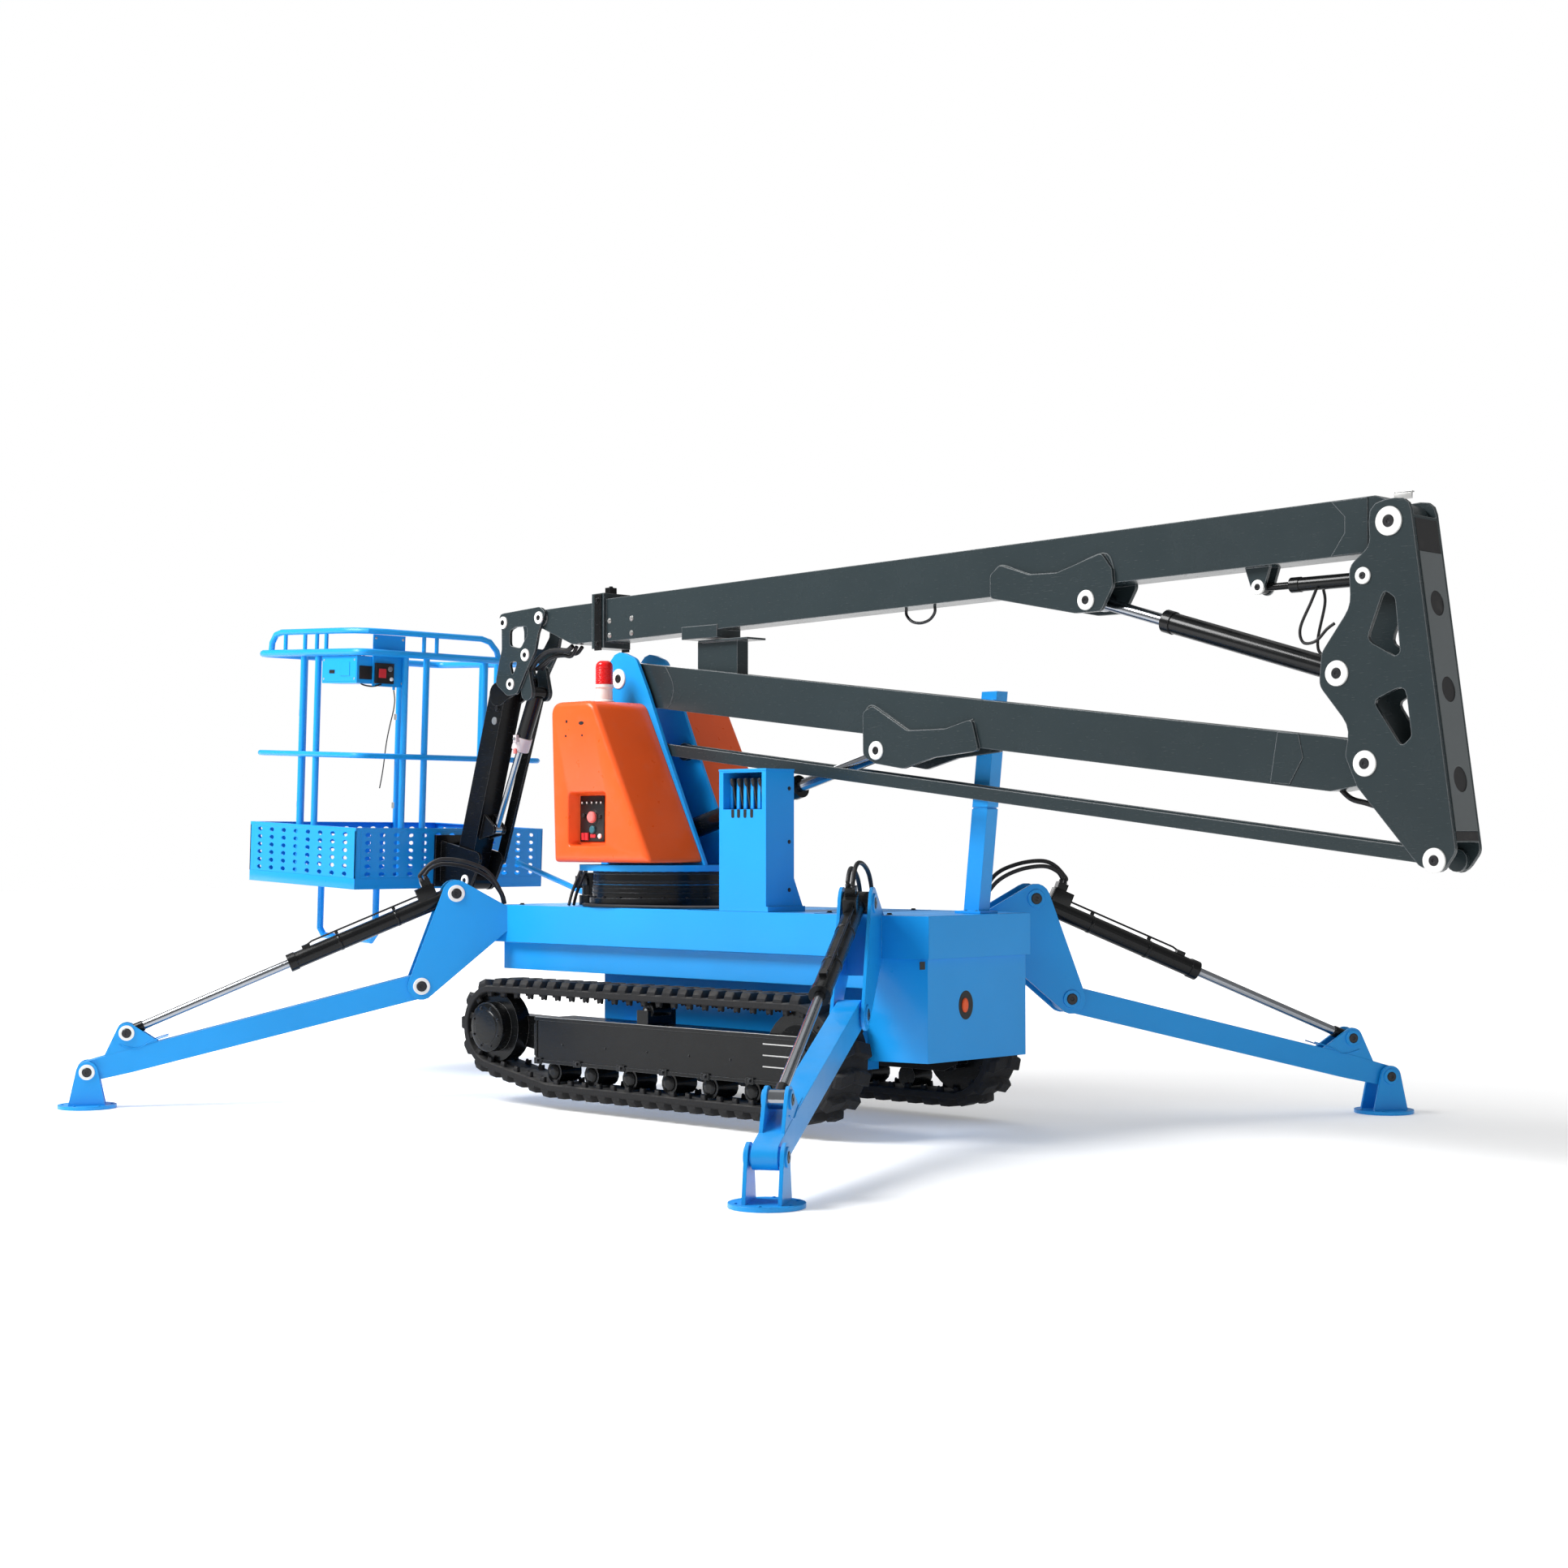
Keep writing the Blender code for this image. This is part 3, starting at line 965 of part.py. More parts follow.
def build():
    chassis = Body("chassis_body")
    turret = Body("turret_body", chassis, (SLEW_X, 0.0, 0.0))
    lower = Body("lower_boom_body", turret, side_point(BOOM_ROOT))
    link = Body("link_body", turret, side_point(LINK_ROOT))
    lift_barrel = Body("lift_barrel_body", turret, side_point(LIFT_ROOT))
    lift_rod = Body("lift_rod_body", lift_barrel, side_point(LIFT_EYE))
    elbow = Body("yoke_body", lower, side_point(ELBOW_LOW))
    upper = Body("upper_boom_body", elbow, side_point(ELBOW_TOP))
    upper_barrel = Body("upper_barrel_body", elbow, side_point(UPPER_LIFT_ROOT))
    upper_rod = Body("upper_rod_body", upper_barrel, side_point(UPPER_LIFT_EYE))
    level_barrel = Body("level_barrel_body", elbow, side_point(LEVEL_ROOT))
    level_rod = Body("level_rod_body", level_barrel, side_point(LEVEL_EYE))
    telescope = Body("telescope_body", upper, side_point((UPPER_REAR, upper_line(UPPER_REAR))))
    head = Body("head_body", telescope, side_point(HEAD_PIN))
    jib_body = Body("jib_body", head, side_point(JIB_ROOT))
    jib_link_body = Body("jib_link_body", head, side_point(link_top()))
    jib_barrel = Body("jib_barrel_body", head, side_point(JIB_LIFT_ROOT))
    jib_rod = Body("jib_rod_body", jib_barrel, side_point(JIB_LIFT_EYE))
    basket_body = Body("basket_body", jib_body, side_point(JIB_END))

    deck(chassis)
    undercarriage(chassis)
    engine_box(chassis)
    for name, side in (("right", -1), ("left", 1)):
        track(chassis, name, side)
        track_frame(chassis, name, side)
    rest_post(chassis)
    console(chassis)
    slew_base(chassis)
    slew_motor(chassis)
    basket_rest(chassis)

    turret_plates(turret)
    for name, side in (("right", -1), ("left", 1)):
        cover(turret, name, side)
    beacon(turret)

    lower_boom(lower)
    boom_saddle(lower)
    for name, side in (("right", -1), ("left", 1)):
        parallel_link(link, name, side)
    hydraulic("lower_lift", lift_barrel, lift_rod, LIFT_ROOT, LIFT_EYE, (0.820, 1.200), (0.041, 0.024),
              (0.050, TURRET_INNER - 0.0008), (0.038, LOWER_HALF_WIDTH - 0.0018))
    yoke(elbow)
    upper_boom(upper)
    hydraulic("upper_lift", upper_barrel, upper_rod, UPPER_LIFT_ROOT, UPPER_LIFT_EYE, (0.740, 0.920),
              (0.036, 0.021), (0.042, YOKE_INSIDE - 0.0008), (0.034, UPPER_HALF_WIDTH - 0.0018))
    hydraulic("level_cylinder", level_barrel, level_rod, LEVEL_ROOT, LEVEL_EYE, (0.310, 0.360),
              (0.023, 0.012), (0.026, YOKE_INSIDE - 0.0008), (0.020, 0.0197))
    telescopic_section(telescope)
    jib_head(head)
    jib(jib_body)
    jib_link(jib_link_body)
    hydraulic("jib_cylinder", jib_barrel, jib_rod, JIB_LIFT_ROOT, JIB_LIFT_EYE, (0.270, 0.550),
              (0.033, 0.014), (0.026, JIB_LUG_INSIDE - 0.0008), (0.020, 0.0197))
    basket(basket_body)
    basket_rails(basket_body)
    basket_step(basket_body)
    control_box(basket_body)
    instrument_plate(basket_body)
    basket_cable(basket_body)

    for name, frame in leg_frames():
        turn = frame.to_euler().z
        stand = [Body(f"{piece}_{name}_body", chassis, frame @ Vector(side_point(point)), turn)
                 for piece, point in (("leg", LEG_PIVOT), ("barrel", LEG_CYLINDER_PIN))]
        leg_body, barrel_body = stand
        foot_body = Body(f"foot_{name}_body", leg_body, frame @ Vector(side_point(FOOT_PIN)), turn)
        rod_body = Body(f"rod_{name}_body", barrel_body, frame @ Vector(side_point(LEG_ROD_PIN)), turn)
        leg(name, (leg_body, foot_body, barrel_body, rod_body), frame)

    bpy.context.view_layer.update()
    reach = [(made.matrix_world @ point.co).x for made in PARTS.objects if made.type == "MESH"
             for point in made.data.vertices]
    chassis.empty.location.x = -(min(reach) + max(reach)) / 2


build()
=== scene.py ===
"""Finishes, fittings and small parts of a crawler boom lift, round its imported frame.

Points are given in the machine's own frame, whose X zero lies SLEW_X from the slew ring's
centre, and at() takes them to the frame's.  Own points of the basket go through TILT.
"""

import json
from math import atan2, cos, hypot, pi, radians, sin, tau

import bmesh
import bpy
from mathutils import Matrix, Vector


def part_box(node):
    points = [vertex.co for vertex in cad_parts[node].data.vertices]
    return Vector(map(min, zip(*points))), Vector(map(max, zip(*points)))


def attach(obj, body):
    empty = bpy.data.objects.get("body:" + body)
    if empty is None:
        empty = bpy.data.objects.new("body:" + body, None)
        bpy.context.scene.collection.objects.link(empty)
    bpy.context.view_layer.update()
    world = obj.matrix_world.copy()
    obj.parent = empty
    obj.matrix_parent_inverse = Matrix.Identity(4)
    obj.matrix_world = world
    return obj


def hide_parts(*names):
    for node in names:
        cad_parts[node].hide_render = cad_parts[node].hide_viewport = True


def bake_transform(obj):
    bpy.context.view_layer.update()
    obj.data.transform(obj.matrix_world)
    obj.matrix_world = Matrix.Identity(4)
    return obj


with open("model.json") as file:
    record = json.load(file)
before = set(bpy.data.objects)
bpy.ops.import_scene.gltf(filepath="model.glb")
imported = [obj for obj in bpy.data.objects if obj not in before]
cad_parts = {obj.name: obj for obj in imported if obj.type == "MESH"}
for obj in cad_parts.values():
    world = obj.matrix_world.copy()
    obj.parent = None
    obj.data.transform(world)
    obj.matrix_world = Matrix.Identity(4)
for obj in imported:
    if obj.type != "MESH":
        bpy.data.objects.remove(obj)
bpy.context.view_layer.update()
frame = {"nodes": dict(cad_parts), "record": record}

# Places shared by several pieces, metres
SLEW_X = -0.3185
low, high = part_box("slew_ring_base")
SHIFT = (low.x + high.x) / 2 - SLEW_X
MACHINE = Matrix.Translation((SHIFT, 0, 0))
UP = (0, 0, 1)
PORTS = (-0.011, 0.011)         # an outrigger cylinder's two hose ports, off its middle


def at(x, y, z):
    """A point of the machine's own frame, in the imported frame."""
    return MACHINE @ Vector((x, y, z))


BASKET_FRONT, BASKET_FLOOR, BASKET_TILT = -1.72, 0.853, 2.4
TILT = (MACHINE @ Matrix.Translation((BASKET_FRONT, 0, BASKET_FLOOR))
        @ Matrix.Rotation(radians(BASKET_TILT), 4, "Y")
        @ Matrix.Translation((-BASKET_FRONT, 0, -BASKET_FLOOR)))
LEG_ROOT_SIDE = 0.486
LEG_ROOTS = (("front_right", 1.18, -1, -58.0), ("front_left", 1.18, 1, 58.0),     # name, x, side, turn
             ("rear_right", -1.074, -1, -122.0), ("rear_left", -1.074, 1, 122.0))
LEG_FRAMES = {name: (MACHINE @ Matrix.Translation((x, side * LEG_ROOT_SIDE, 0))
                     @ Matrix.Rotation(radians(turn), 4, "Z")) for name, x, side, turn in LEG_ROOTS}


# Camera, at the photograph's place

CAMERA_PLACE, CAMERA_HEADING, CAMERA_PITCH, CAMERA_LENS = (6.967, -6.822, 1.066), 44.12, 91.315, 56.27
camera = bpy.data.objects.new("camera", bpy.data.cameras.new("camera"))
camera.data.lens = CAMERA_LENS
camera.data.sensor_width = 36.0
camera.data.clip_end = 200.0
camera.location = at(*CAMERA_PLACE)
camera.rotation_euler = (radians(CAMERA_PITCH), 0.0, radians(CAMERA_HEADING))
bpy.context.scene.collection.objects.link(camera)
bpy.context.scene.camera = camera


# The cable that hangs from the instrument plate

CABLE_RADIUS = 0.0025
CABLE_ROUTE = [(-1.722, -0.317, 1.723), (-1.7222, -0.3135, 1.705), (-1.7226, -0.3108, 1.68),
               (-1.7236, -0.313, 1.65), (-1.7252, -0.3195, 1.618), (-1.7272, -0.3275, 1.586),
               (-1.7292, -0.335, 1.554), (-1.731, -0.3418, 1.522), (-1.7326, -0.3474, 1.49),
               (-1.734, -0.3518, 1.458), (-1.735, -0.3556, 1.426), (-1.7358, -0.3596, 1.394),
               (-1.7366, -0.365, 1.36), (-1.7374, -0.3716, 1.326), (-1.738, -0.379, 1.293)]


def smooth(points, steps):
    """Points read from the smooth curve through a route's own points."""
    route = [Vector(point) for point in (points[0], *points, points[-1])]
    found = []
    for i in range(1, len(route) - 2):
        a, b, c, d = route[i - 1:i + 3]
        for k in range(steps):
            t = k / steps
            found.append(b + ((c - a) * t + (2 * a - 5 * b + 4 * c - d) * t * t
                              + (3 * b - a - 3 * c + d) * t ** 3) / 2)
    return found + [route[-1]]


def hanging_cable():
    route = [at(*point) for point in smooth(CABLE_ROUTE, 2)]
    curve = bpy.data.curves.new("basket_flex", "CURVE")
    curve.dimensions = "3D"
    curve.bevel_depth = 1.0                 # times each point's own radius
    curve.bevel_resolution = 4
    curve.use_fill_caps = True
    line = curve.splines.new("POLY")
    line.points.add(len(route) - 1)
    for target, point in zip(line.points, route):
        target.co = (*point, 1.0)
        target.radius = CABLE_RADIUS
    made = bpy.data.objects.new("basket_flex", curve)
    bpy.context.scene.collection.objects.link(made)
    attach(made, "basket")
    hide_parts("basket_cable")
    length = sum((b - a).length for a, b in zip(route, route[1:]))
    return made


flex = hanging_cable()


# Finishes

class Flow:
    """A shader value that takes part in plain Python sums; each sum adds a Math node."""

    def __init__(self, finish, socket):
        self.finish, self.socket = finish, socket

    def sum(self, operation, other, flip=False):
        pair = {0: other, 1: self} if flip else {0: self, 1: other}
        return self.finish.add("ShaderNodeMath", {"operation": operation}, pair)

    def __add__(self, other):
        return self.sum("ADD", other)

    def __sub__(self, other):
        return self.sum("SUBTRACT", other)

    def __rsub__(self, other):
        return self.sum("SUBTRACT", other, True)

    def __mul__(self, other):
        return self.sum("MULTIPLY", other)

    __radd__, __rmul__ = __add__, __mul__

    def between(self, start, end):
        """0 below start, 1 above end and a soft step in between."""
        return self.finish.add("ShaderNodeMapRange", {"interpolation_type": "SMOOTHSTEP"},
                               {"Value": self, "From Min": start, "From Max": end})


class Finish:
    """One procedural material on the Principled shader; what stays the same is set on its sockets."""

    def __init__(self, name, **steady):
        self.material = bpy.data.materials.new(name)
        self.material.use_nodes = True
        self.tree = self.material.node_tree
        self.shader = self.tree.nodes["Principled BSDF"]
        for label, value in steady.items():
            label = label.replace("_", " ").title().replace("Ior", "IOR")
            self.shader.inputs[label].default_value = value
        self.place = self.add("ShaderNodeTexCoord", output="Object")

    def add(self, kind, settings=None, inputs=None, output=0):
        """A node of one kind: its settings first, then the values or links of its sockets."""
        node = self.tree.nodes.new(kind)
        for label, value in (settings or {}).items():
            setattr(node, label, value)
        for label, value in (inputs or {}).items():
            self.feed(node.inputs[label], value)
        return Flow(self, node.outputs[output])

    def feed(self, socket, value):
        if isinstance(value, Flow):
            self.tree.links.new(value.socket, socket)
        else:
            socket.default_value = value

    def set(self, label, value):
        self.feed(self.shader.inputs[label], value)

    def stretched(self, scale):
        return self.add("ShaderNodeMapping", None, {"Vector": self.place, "Scale": scale})

    def noise(self, scale, detail=2.0, place=None):
        return self.add("ShaderNodeTexNoise", None,
                        {"Vector": place or self.place, "Scale": scale, "Detail": detail})

    def mix(self, share, first, second):
        return self.add("ShaderNodeMix", {"data_type": "RGBA"}, {0: share, 6: first, 7: second}, 2)

    def facing_up(self):
        normal = self.add("ShaderNodeNewGeometry", output="Normal")
        return self.add("ShaderNodeSeparateXYZ", None, {0: normal}, "Z")

    def soft_corner(self, radius):
        return self.add("ShaderNodeBevel", {"samples": 4}, {"Radius": radius})

    def edge(self, rounded):
        """Near 0 on flat faces and higher along the corners that soft_corner rounds."""
        normal = self.add("ShaderNodeNewGeometry", output="Normal")
        same = self.add("ShaderNodeVectorMath", {"operation": "DOT_PRODUCT"}, {0: normal, 1: rounded},
                        "Value")
        return (1 - same).between(0.02, 0.3)

    def bump(self, height, distance, rounded=None):
        inputs = {"Height": height, "Distance": distance}
        if rounded:
            inputs["Normal"] = rounded
        self.set("Normal", self.add("ShaderNodeBump", None, inputs))


def tone(colour, factor=1.0):
    return (*[min(1.0, channel * factor) for channel in colour], 1.0)


# DUST is a dust colour; the pale grey after it is a painted highlight, the glint of light along rounded
# corners.
DUST, EDGE_HIGHLIGHT = (0.34, 0.32, 0.29), (0.62, 0.64, 0.66)
ORANGE_PEEL = 0.00006


def painted(name, colour, roughness, corner=0.003, dust=0.1, edge=0.0, scuff=0.1, gloss=0.3):
    """Sprayed enamel: orange peel, a slow change of tone, light dust on what faces up, and a painted
    highlight along the corners.
    """
    finish = Finish(name, coat_weight=0.06, coat_roughness=0.1, specular_ior_level=gloss)
    slow = finish.noise(1.6, 3.0)
    blotch = finish.noise(9.0, 5.0)
    grain = finish.noise(260.0, 2.0)
    scratch = finish.noise(34.0, 6.0, finish.stretched((1.0, 1.0, 9.0))).between(0.63, 0.72)
    coat = finish.mix(slow, tone(colour, 0.86), tone(colour, 1.12))
    dirty = finish.facing_up().between(0.35, 0.95) * blotch.between(0.35, 0.75) * dust
    coat = finish.mix(dirty + scratch * 0.03, coat, tone(DUST))
    rounded = finish.soft_corner(corner)
    # painted highlight: pale grey mixed along the rounded corners, where light would glint
    if edge:
        coat = finish.mix(finish.edge(rounded) * edge, coat, tone(EDGE_HIGHLIGHT))
    finish.set("Base Color", coat)
    finish.set("Roughness", roughness + (blotch - 0.5) * scuff + dirty * 1.2 + scratch * 0.12)
    finish.bump(grain + slow * 2.0, ORANGE_PEEL, rounded)
    return finish.material


def moulded(name, colour, roughness, skin=0.0001, corner=0.003, dirt=0.06):
    """Plastic or rubber from a mould, with a fine skin."""
    finish = Finish(name, specular_ior_level=0.35)
    slow = finish.noise(3.0, 3.0)
    fine = finish.noise(600.0, 2.0)
    blotch = finish.noise(22.0, 5.0)
    shade = finish.mix(slow, tone(colour, 0.9), tone(colour, 1.08))
    dirty = blotch.between(0.52, 0.8) * dirt
    finish.set("Base Color", finish.mix(dirty, shade, tone(DUST)))
    finish.set("Roughness", roughness + (blotch - 0.5) * 0.14)
    finish.bump(fine, skin, finish.soft_corner(corner))
    return finish.material


def metal(name, colour, roughness):
    """Bare or plated steel with a fine grain."""
    finish = Finish(name, metallic=1.0)
    lines = finish.noise(150.0, 4.0)
    blotch = finish.noise(14.0, 4.0)
    finish.set("Base Color", finish.mix(blotch, tone(colour, 0.84), tone(colour, 1.1)))
    finish.set("Roughness", roughness + (lines - 0.5) * 0.12 + (blotch - 0.5) * 0.1)
    finish.bump(lines, 0.00003, finish.soft_corner(0.001))
    return finish.material


def tread_rubber():
    """Track rubber: blunt grain, with dry mud in patches, and grey dust on what faces up."""
    finish = Finish("track_rubber_worn", specular_ior_level=0.25)
    grain = finish.noise(90.0, 6.0)
    clods = finish.noise(24.0, 5.0)
    dusty = finish.facing_up().between(0.1, 0.9) * clods.between(0.3, 0.72)
    coat = finish.mix(grain, (0.007, 0.007, 0.008, 1.0), (0.022, 0.022, 0.023, 1.0))
    coat = finish.mix(dusty * 0.34, coat, (0.17, 0.165, 0.155, 1.0))
    finish.set("Base Color", finish.mix(clods.between(0.7, 0.86) * 0.18, coat, tone(DUST)))
    finish.set("Roughness", 0.62 + grain * 0.25 + dusty * 0.1)
    finish.bump(grain + clods, 0.0016, finish.soft_corner(0.003))
    return finish.material


def checkered_floor(name, colour):
    """Blue tread plate: small raised bars in a woven layout."""
    finish = Finish(name, specular_ior_level=0.3)
    bars = []
    for turn in (pi / 4, -pi / 4):
        turned_place = finish.add("ShaderNodeMapping", None, {
            "Vector": finish.place, "Rotation": (0.0, 0.0, turn), "Scale": (1.0, 2.6, 1.0)})
        cells = finish.add("ShaderNodeTexVoronoi", {"feature": "F1"},
                           {"Vector": turned_place, "Scale": 24.0, "Randomness": 0.0}, "Distance")
        bars.append(1 - cells.between(0.22, 0.34))
    blotch = finish.noise(7.0, 4.0)
    finish.set("Base Color", finish.mix(blotch.between(0.4, 0.8) * 0.2, tone(colour), tone(DUST)))
    finish.set("Roughness", 0.4 + blotch * 0.2)
    finish.bump(bars[0] + bars[1], 0.0012, finish.soft_corner(0.002))
    return finish.material


BLUE_COLOUR, GREY_COLOUR = (0.01, 0.32, 0.8), (0.022, 0.033, 0.037)
BLUE = painted("azure_enamel", BLUE_COLOUR, 0.3, dust=0.12)
GREY = painted("slate_enamel", GREY_COLOUR, 0.26, corner=0.005, edge=0.45, dust=0.1)
BLACK = painted("black_enamel", (0.005, 0.0055, 0.006), 0.24, edge=0.22, dust=0.05, gloss=0.18)
BARREL_BLACK = painted("cylinder_enamel", (0.005, 0.0055, 0.006), 0.22, edge=0.05, dust=0.04, scuff=0.16,
                       gloss=0.24)
ORANGE = moulded("orange_moulding", (0.88, 0.105, 0.016), 0.3, corner=0.006, dirt=0.03)
RUBBER = tread_rubber()
HOSE = moulded("hose_rubber", (0.011, 0.011, 0.012), 0.48)
CHROME = metal("hard_chrome", (0.36, 0.38, 0.41), 0.17)
STEEL = metal("zinc_plate", (0.58, 0.58, 0.57), 0.32)
DARK_STEEL = metal("blackened_steel", (0.05, 0.051, 0.054), 0.34)
WHITE = moulded("white_washer", (0.83, 0.83, 0.81), 0.42, dirt=0.1)
RED = moulded("beacon_red", (0.72, 0.01, 0.012), 0.12, skin=0.00003)
PANEL = moulded("panel_black", (0.012, 0.012, 0.013), 0.4)
RED_KNOB = moulded("knob_red", (0.62, 0.03, 0.04), 0.3)
PINK_KNOB = moulded("knob_pink", (0.8, 0.2, 0.19), 0.3)
TEAL_KNOB = moulded("knob_teal", (0.035, 0.15, 0.19), 0.3)
CLAMP = moulded("clamp_white", (0.62, 0.56, 0.57), 0.38)
GREY_CAP = moulded("cap_grey", (0.16, 0.17, 0.18), 0.4)
GREY_BEAD = painted("weld_enamel", (0.105, 0.12, 0.125), 0.36, edge=0.0)
WEB_GREY = painted("web_enamel", (0.105, 0.118, 0.122), 0.3, dust=0.14)
SEAM_BLUE = painted("seam_enamel", (0.006, 0.14, 0.42), 0.45)
TREAD_BLUE = checkered_floor("tread_plate_blue", BLUE_COLOUR)
flex.data.materials.append(HOSE)

SLOT_FINISHES = {"blue_paint": BLUE, "boom_grey_paint": GREY, "black_paint": BLACK, "track_rubber": RUBBER,
                 "orange_cover": ORANGE, "chrome": CHROME, "red_lens": RED, "black_cable": HOSE}
# Black enamel on the jib, its link and the basket's bracket is partly their dark paint and partly painted
# shade, as that area stands in shade; the level cylinder's rod takes black enamel too.
NODE_FINISHES = {"jib": BLACK, "jib_link": BLACK, "basket_bracket": BLACK, "level_cylinder_rod": BLACK}


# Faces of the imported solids, welded and shaded round

WELD, SHARP = 1e-5, radians(30.0)


def soft_shading():
    """Geometry nodes that weld a solid's faces and shade them smooth up to a fixed angle."""
    group = bpy.data.node_groups.new("soft_shading", "GeometryNodeTree")
    for way in ("INPUT", "OUTPUT"):
        group.interface.new_socket("Geometry", in_out=way, socket_type="NodeSocketGeometry")
    kinds = ("NodeGroupInput", "GeometryNodeRemoveAttribute", "GeometryNodeMergeByDistance",
             "GeometryNodeSetShadeSmooth", "GeometryNodeSetShadeSmooth", "NodeGroupOutput")
    chain = [group.nodes.new(kind) for kind in kinds]
    for before, after in zip(chain, chain[1:]):
        group.links.new(before.outputs["Geometry"], after.inputs["Geometry"])
    _, plain, merge, faces, edges, _ = chain
    plain.inputs["Name"].default_value = "custom_normal"
    merge.inputs["Distance"].default_value = WELD
    faces.inputs["Shade Smooth"].default_value = True
    edges.domain = "EDGE"
    edges.inputs["Shade Smooth"].default_value = False
    bend = group.nodes.new("GeometryNodeInputMeshEdgeAngle")
    sharp = group.nodes.new("FunctionNodeCompare")
    sharp.operation = "GREATER_THAN"
    sharp.inputs["B"].default_value = SHARP
    group.links.new(bend.outputs["Unsigned Angle"], sharp.inputs["A"])
    group.links.new(sharp.outputs["Result"], edges.inputs["Selection"])
    return group


def finish_nodes():
    group = soft_shading()
    slots = {row["node"]: row["material_slot"] for row in frame["record"]["subparts"]}
    for name, node in frame["nodes"].items():
        by_slot = BARREL_BLACK if name.endswith("_barrel") else SLOT_FINISHES[slots[name]]
        node.data.materials.clear()
        node.data.materials.append(NODE_FINISHES.get(name, by_slot))
        node.modifiers.new("soft_shading", "NODES").node_group = group


finish_nodes()


# Mesh code

class Shape:
    """The mesh of one piece; each call adds a closed form to it."""

    def __init__(self, place=MACHINE):
        self.work = bmesh.new()
        self.place = place

    def vertices(self, points):
        return [self.work.verts.new(self.place @ Vector(point)) for point in points]

    def rings(self, rings, closed=False, capped=True):
        """A skin over rings of points, with end faces unless it closes on itself; gives its corners."""
        rows = [self.vertices(ring) for ring in rings]
        pairs = list(zip(rows, rows[1:] + rows[:1])) if closed else list(zip(rows, rows[1:]))
        for a, b in pairs:
            for i in range(len(a)):
                j = (i + 1) % len(a)
                self.work.faces.new((a[i], a[j], b[j], b[i]))
        if capped and not closed:
            self.work.faces.new(rows[0][::-1])
            self.work.faces.new(rows[-1])
        return rows

    def rounded_edges(self, faces_before, width, segments=2):
        faces = list(self.work.faces)[faces_before:]
        edges = {edge for face in faces for edge in face.edges}
        bmesh.ops.bevel(self.work, geom=list(edges), offset=width, segments=segments, affect="EDGES",
                        profile=0.5, clamp_overlap=True)

    def block(self, corner, far_corner, edge=0.002, segments=2):
        """A box between any two opposite corners, with rounded edges."""
        before = len(self.work.faces)
        (x0, x1), (y0, y1), (z0, z1) = [sorted(pair) for pair in zip(corner, far_corner)]
        self.rings([[(x0, y0, z0), (x1, y0, z0), (x1, y1, z0), (x0, y1, z0)],
                    [(x0, y0, z1), (x1, y0, z1), (x1, y1, z1), (x0, y1, z1)]])
        if edge:
            self.rounded_edges(before, edge, segments)

    def turned(self, profile, start, direction, steps=24, closed=False):
        """A turned form from (radius, distance along); closed for a ring's own section."""
        direction = Vector(direction).normalized()
        side = direction.orthogonal().normalized()
        other = direction.cross(side)
        start = Vector(start)
        rings = []
        for radius, reach in profile:
            centre = start + direction * reach
            radius = max(radius, 1e-5)
            rings.append([centre + (side * cos(tau * i / steps) + other * sin(tau * i / steps)) * radius
                          for i in range(steps)])
        self.rings(rings, closed)

    def collar(self, inner, outer, soft, length, start, direction, sides):
        """A ring round something, its outer edges chamfered."""
        self.turned([(inner, 0.0), (outer, soft), (outer, length - soft), (inner, length)], start, direction,
                    sides, closed=True)

    def rod(self, start, end, radius, sides=16, edge=0.0012):
        """A round bar with chamfered ends."""
        start, end = Vector(start), Vector(end)
        length = (end - start).length
        edge = min(edge, radius * 0.4, length * 0.3)
        self.turned([(radius - edge, 0.0), (radius, edge), (radius, length - edge), (radius - edge, length)],
                    start, end - start, sides)

    def pipe(self, points, radius, sides=10):
        """A round bar along a line of points."""
        points = [Vector(point) for point in points]
        rings, side = [], None
        for i, point in enumerate(points):
            heading = (points[min(i + 1, len(points) - 1)] - points[max(i - 1, 0)]).normalized()
            side = heading.orthogonal() if side is None else side - heading * side.dot(heading)
            side.normalize()
            other = heading.cross(side)
            rings.append([point + (side * cos(tau * k / sides) + other * sin(tau * k / sides)) * radius
                          for k in range(sides)])
        self.rings(rings)

    def plate(self, outline, start, thickness, axis="y", holes=()):
        """A flat plate: an outline of two coordinates with holes, raised along the third axis."""
        def point(a, b, depth):
            return {"y": (a, depth, b), "x": (depth, a, b), "z": (a, b, depth)}[axis]

        loops = []
        for loop in (outline, *holes):
            corners = self.vertices([point(a, b, start) for a, b in loop])
            loops += [self.work.edges.new(pair) for pair in zip(corners, corners[1:] + corners[:1])]
        filled = bmesh.ops.triangle_fill(self.work, use_beauty=True, use_dissolve=False, edges=loops)["geom"]
        faces = [item for item in filled if isinstance(item, bmesh.types.BMFace)]
        raised = bmesh.ops.extrude_face_region(self.work, geom=faces)["geom"]
        lift = self.place.to_3x3() @ Vector(point(0, 0, thickness))
        corners = [item for item in raised if isinstance(item, bmesh.types.BMVert)]
        bmesh.ops.translate(self.work, vec=lift, verts=corners)

    def bar(self, centre, way, up, size):
        """A block whose length runs along way and whose height runs along up."""
        length, width, height = size
        side = way.cross(up)
        before = len(self.work.faces)
        section = [side * (width / 2 * a) + up * (height / 2 * b)
                   for a, b in ((-1, -1), (1, -1), (1, 1), (-1, 1))]
        self.rings([[centre + way * reach + point for point in section]
                    for reach in (-length / 2, length / 2)])
        self.rounded_edges(before, 0.003)

    def hex_head(self, centre, direction, radius, height=0.006):
        """A bolt's head with its washer."""
        self.turned([(radius * 1.45, 0.0), (radius * 1.45, height * 0.25), (radius * 0.9, height * 0.25)],
                    centre, direction, 18)
        self.turned([(radius, 0.0), (radius, height), (radius * 0.86, height * 1.15)], centre, direction, 6)


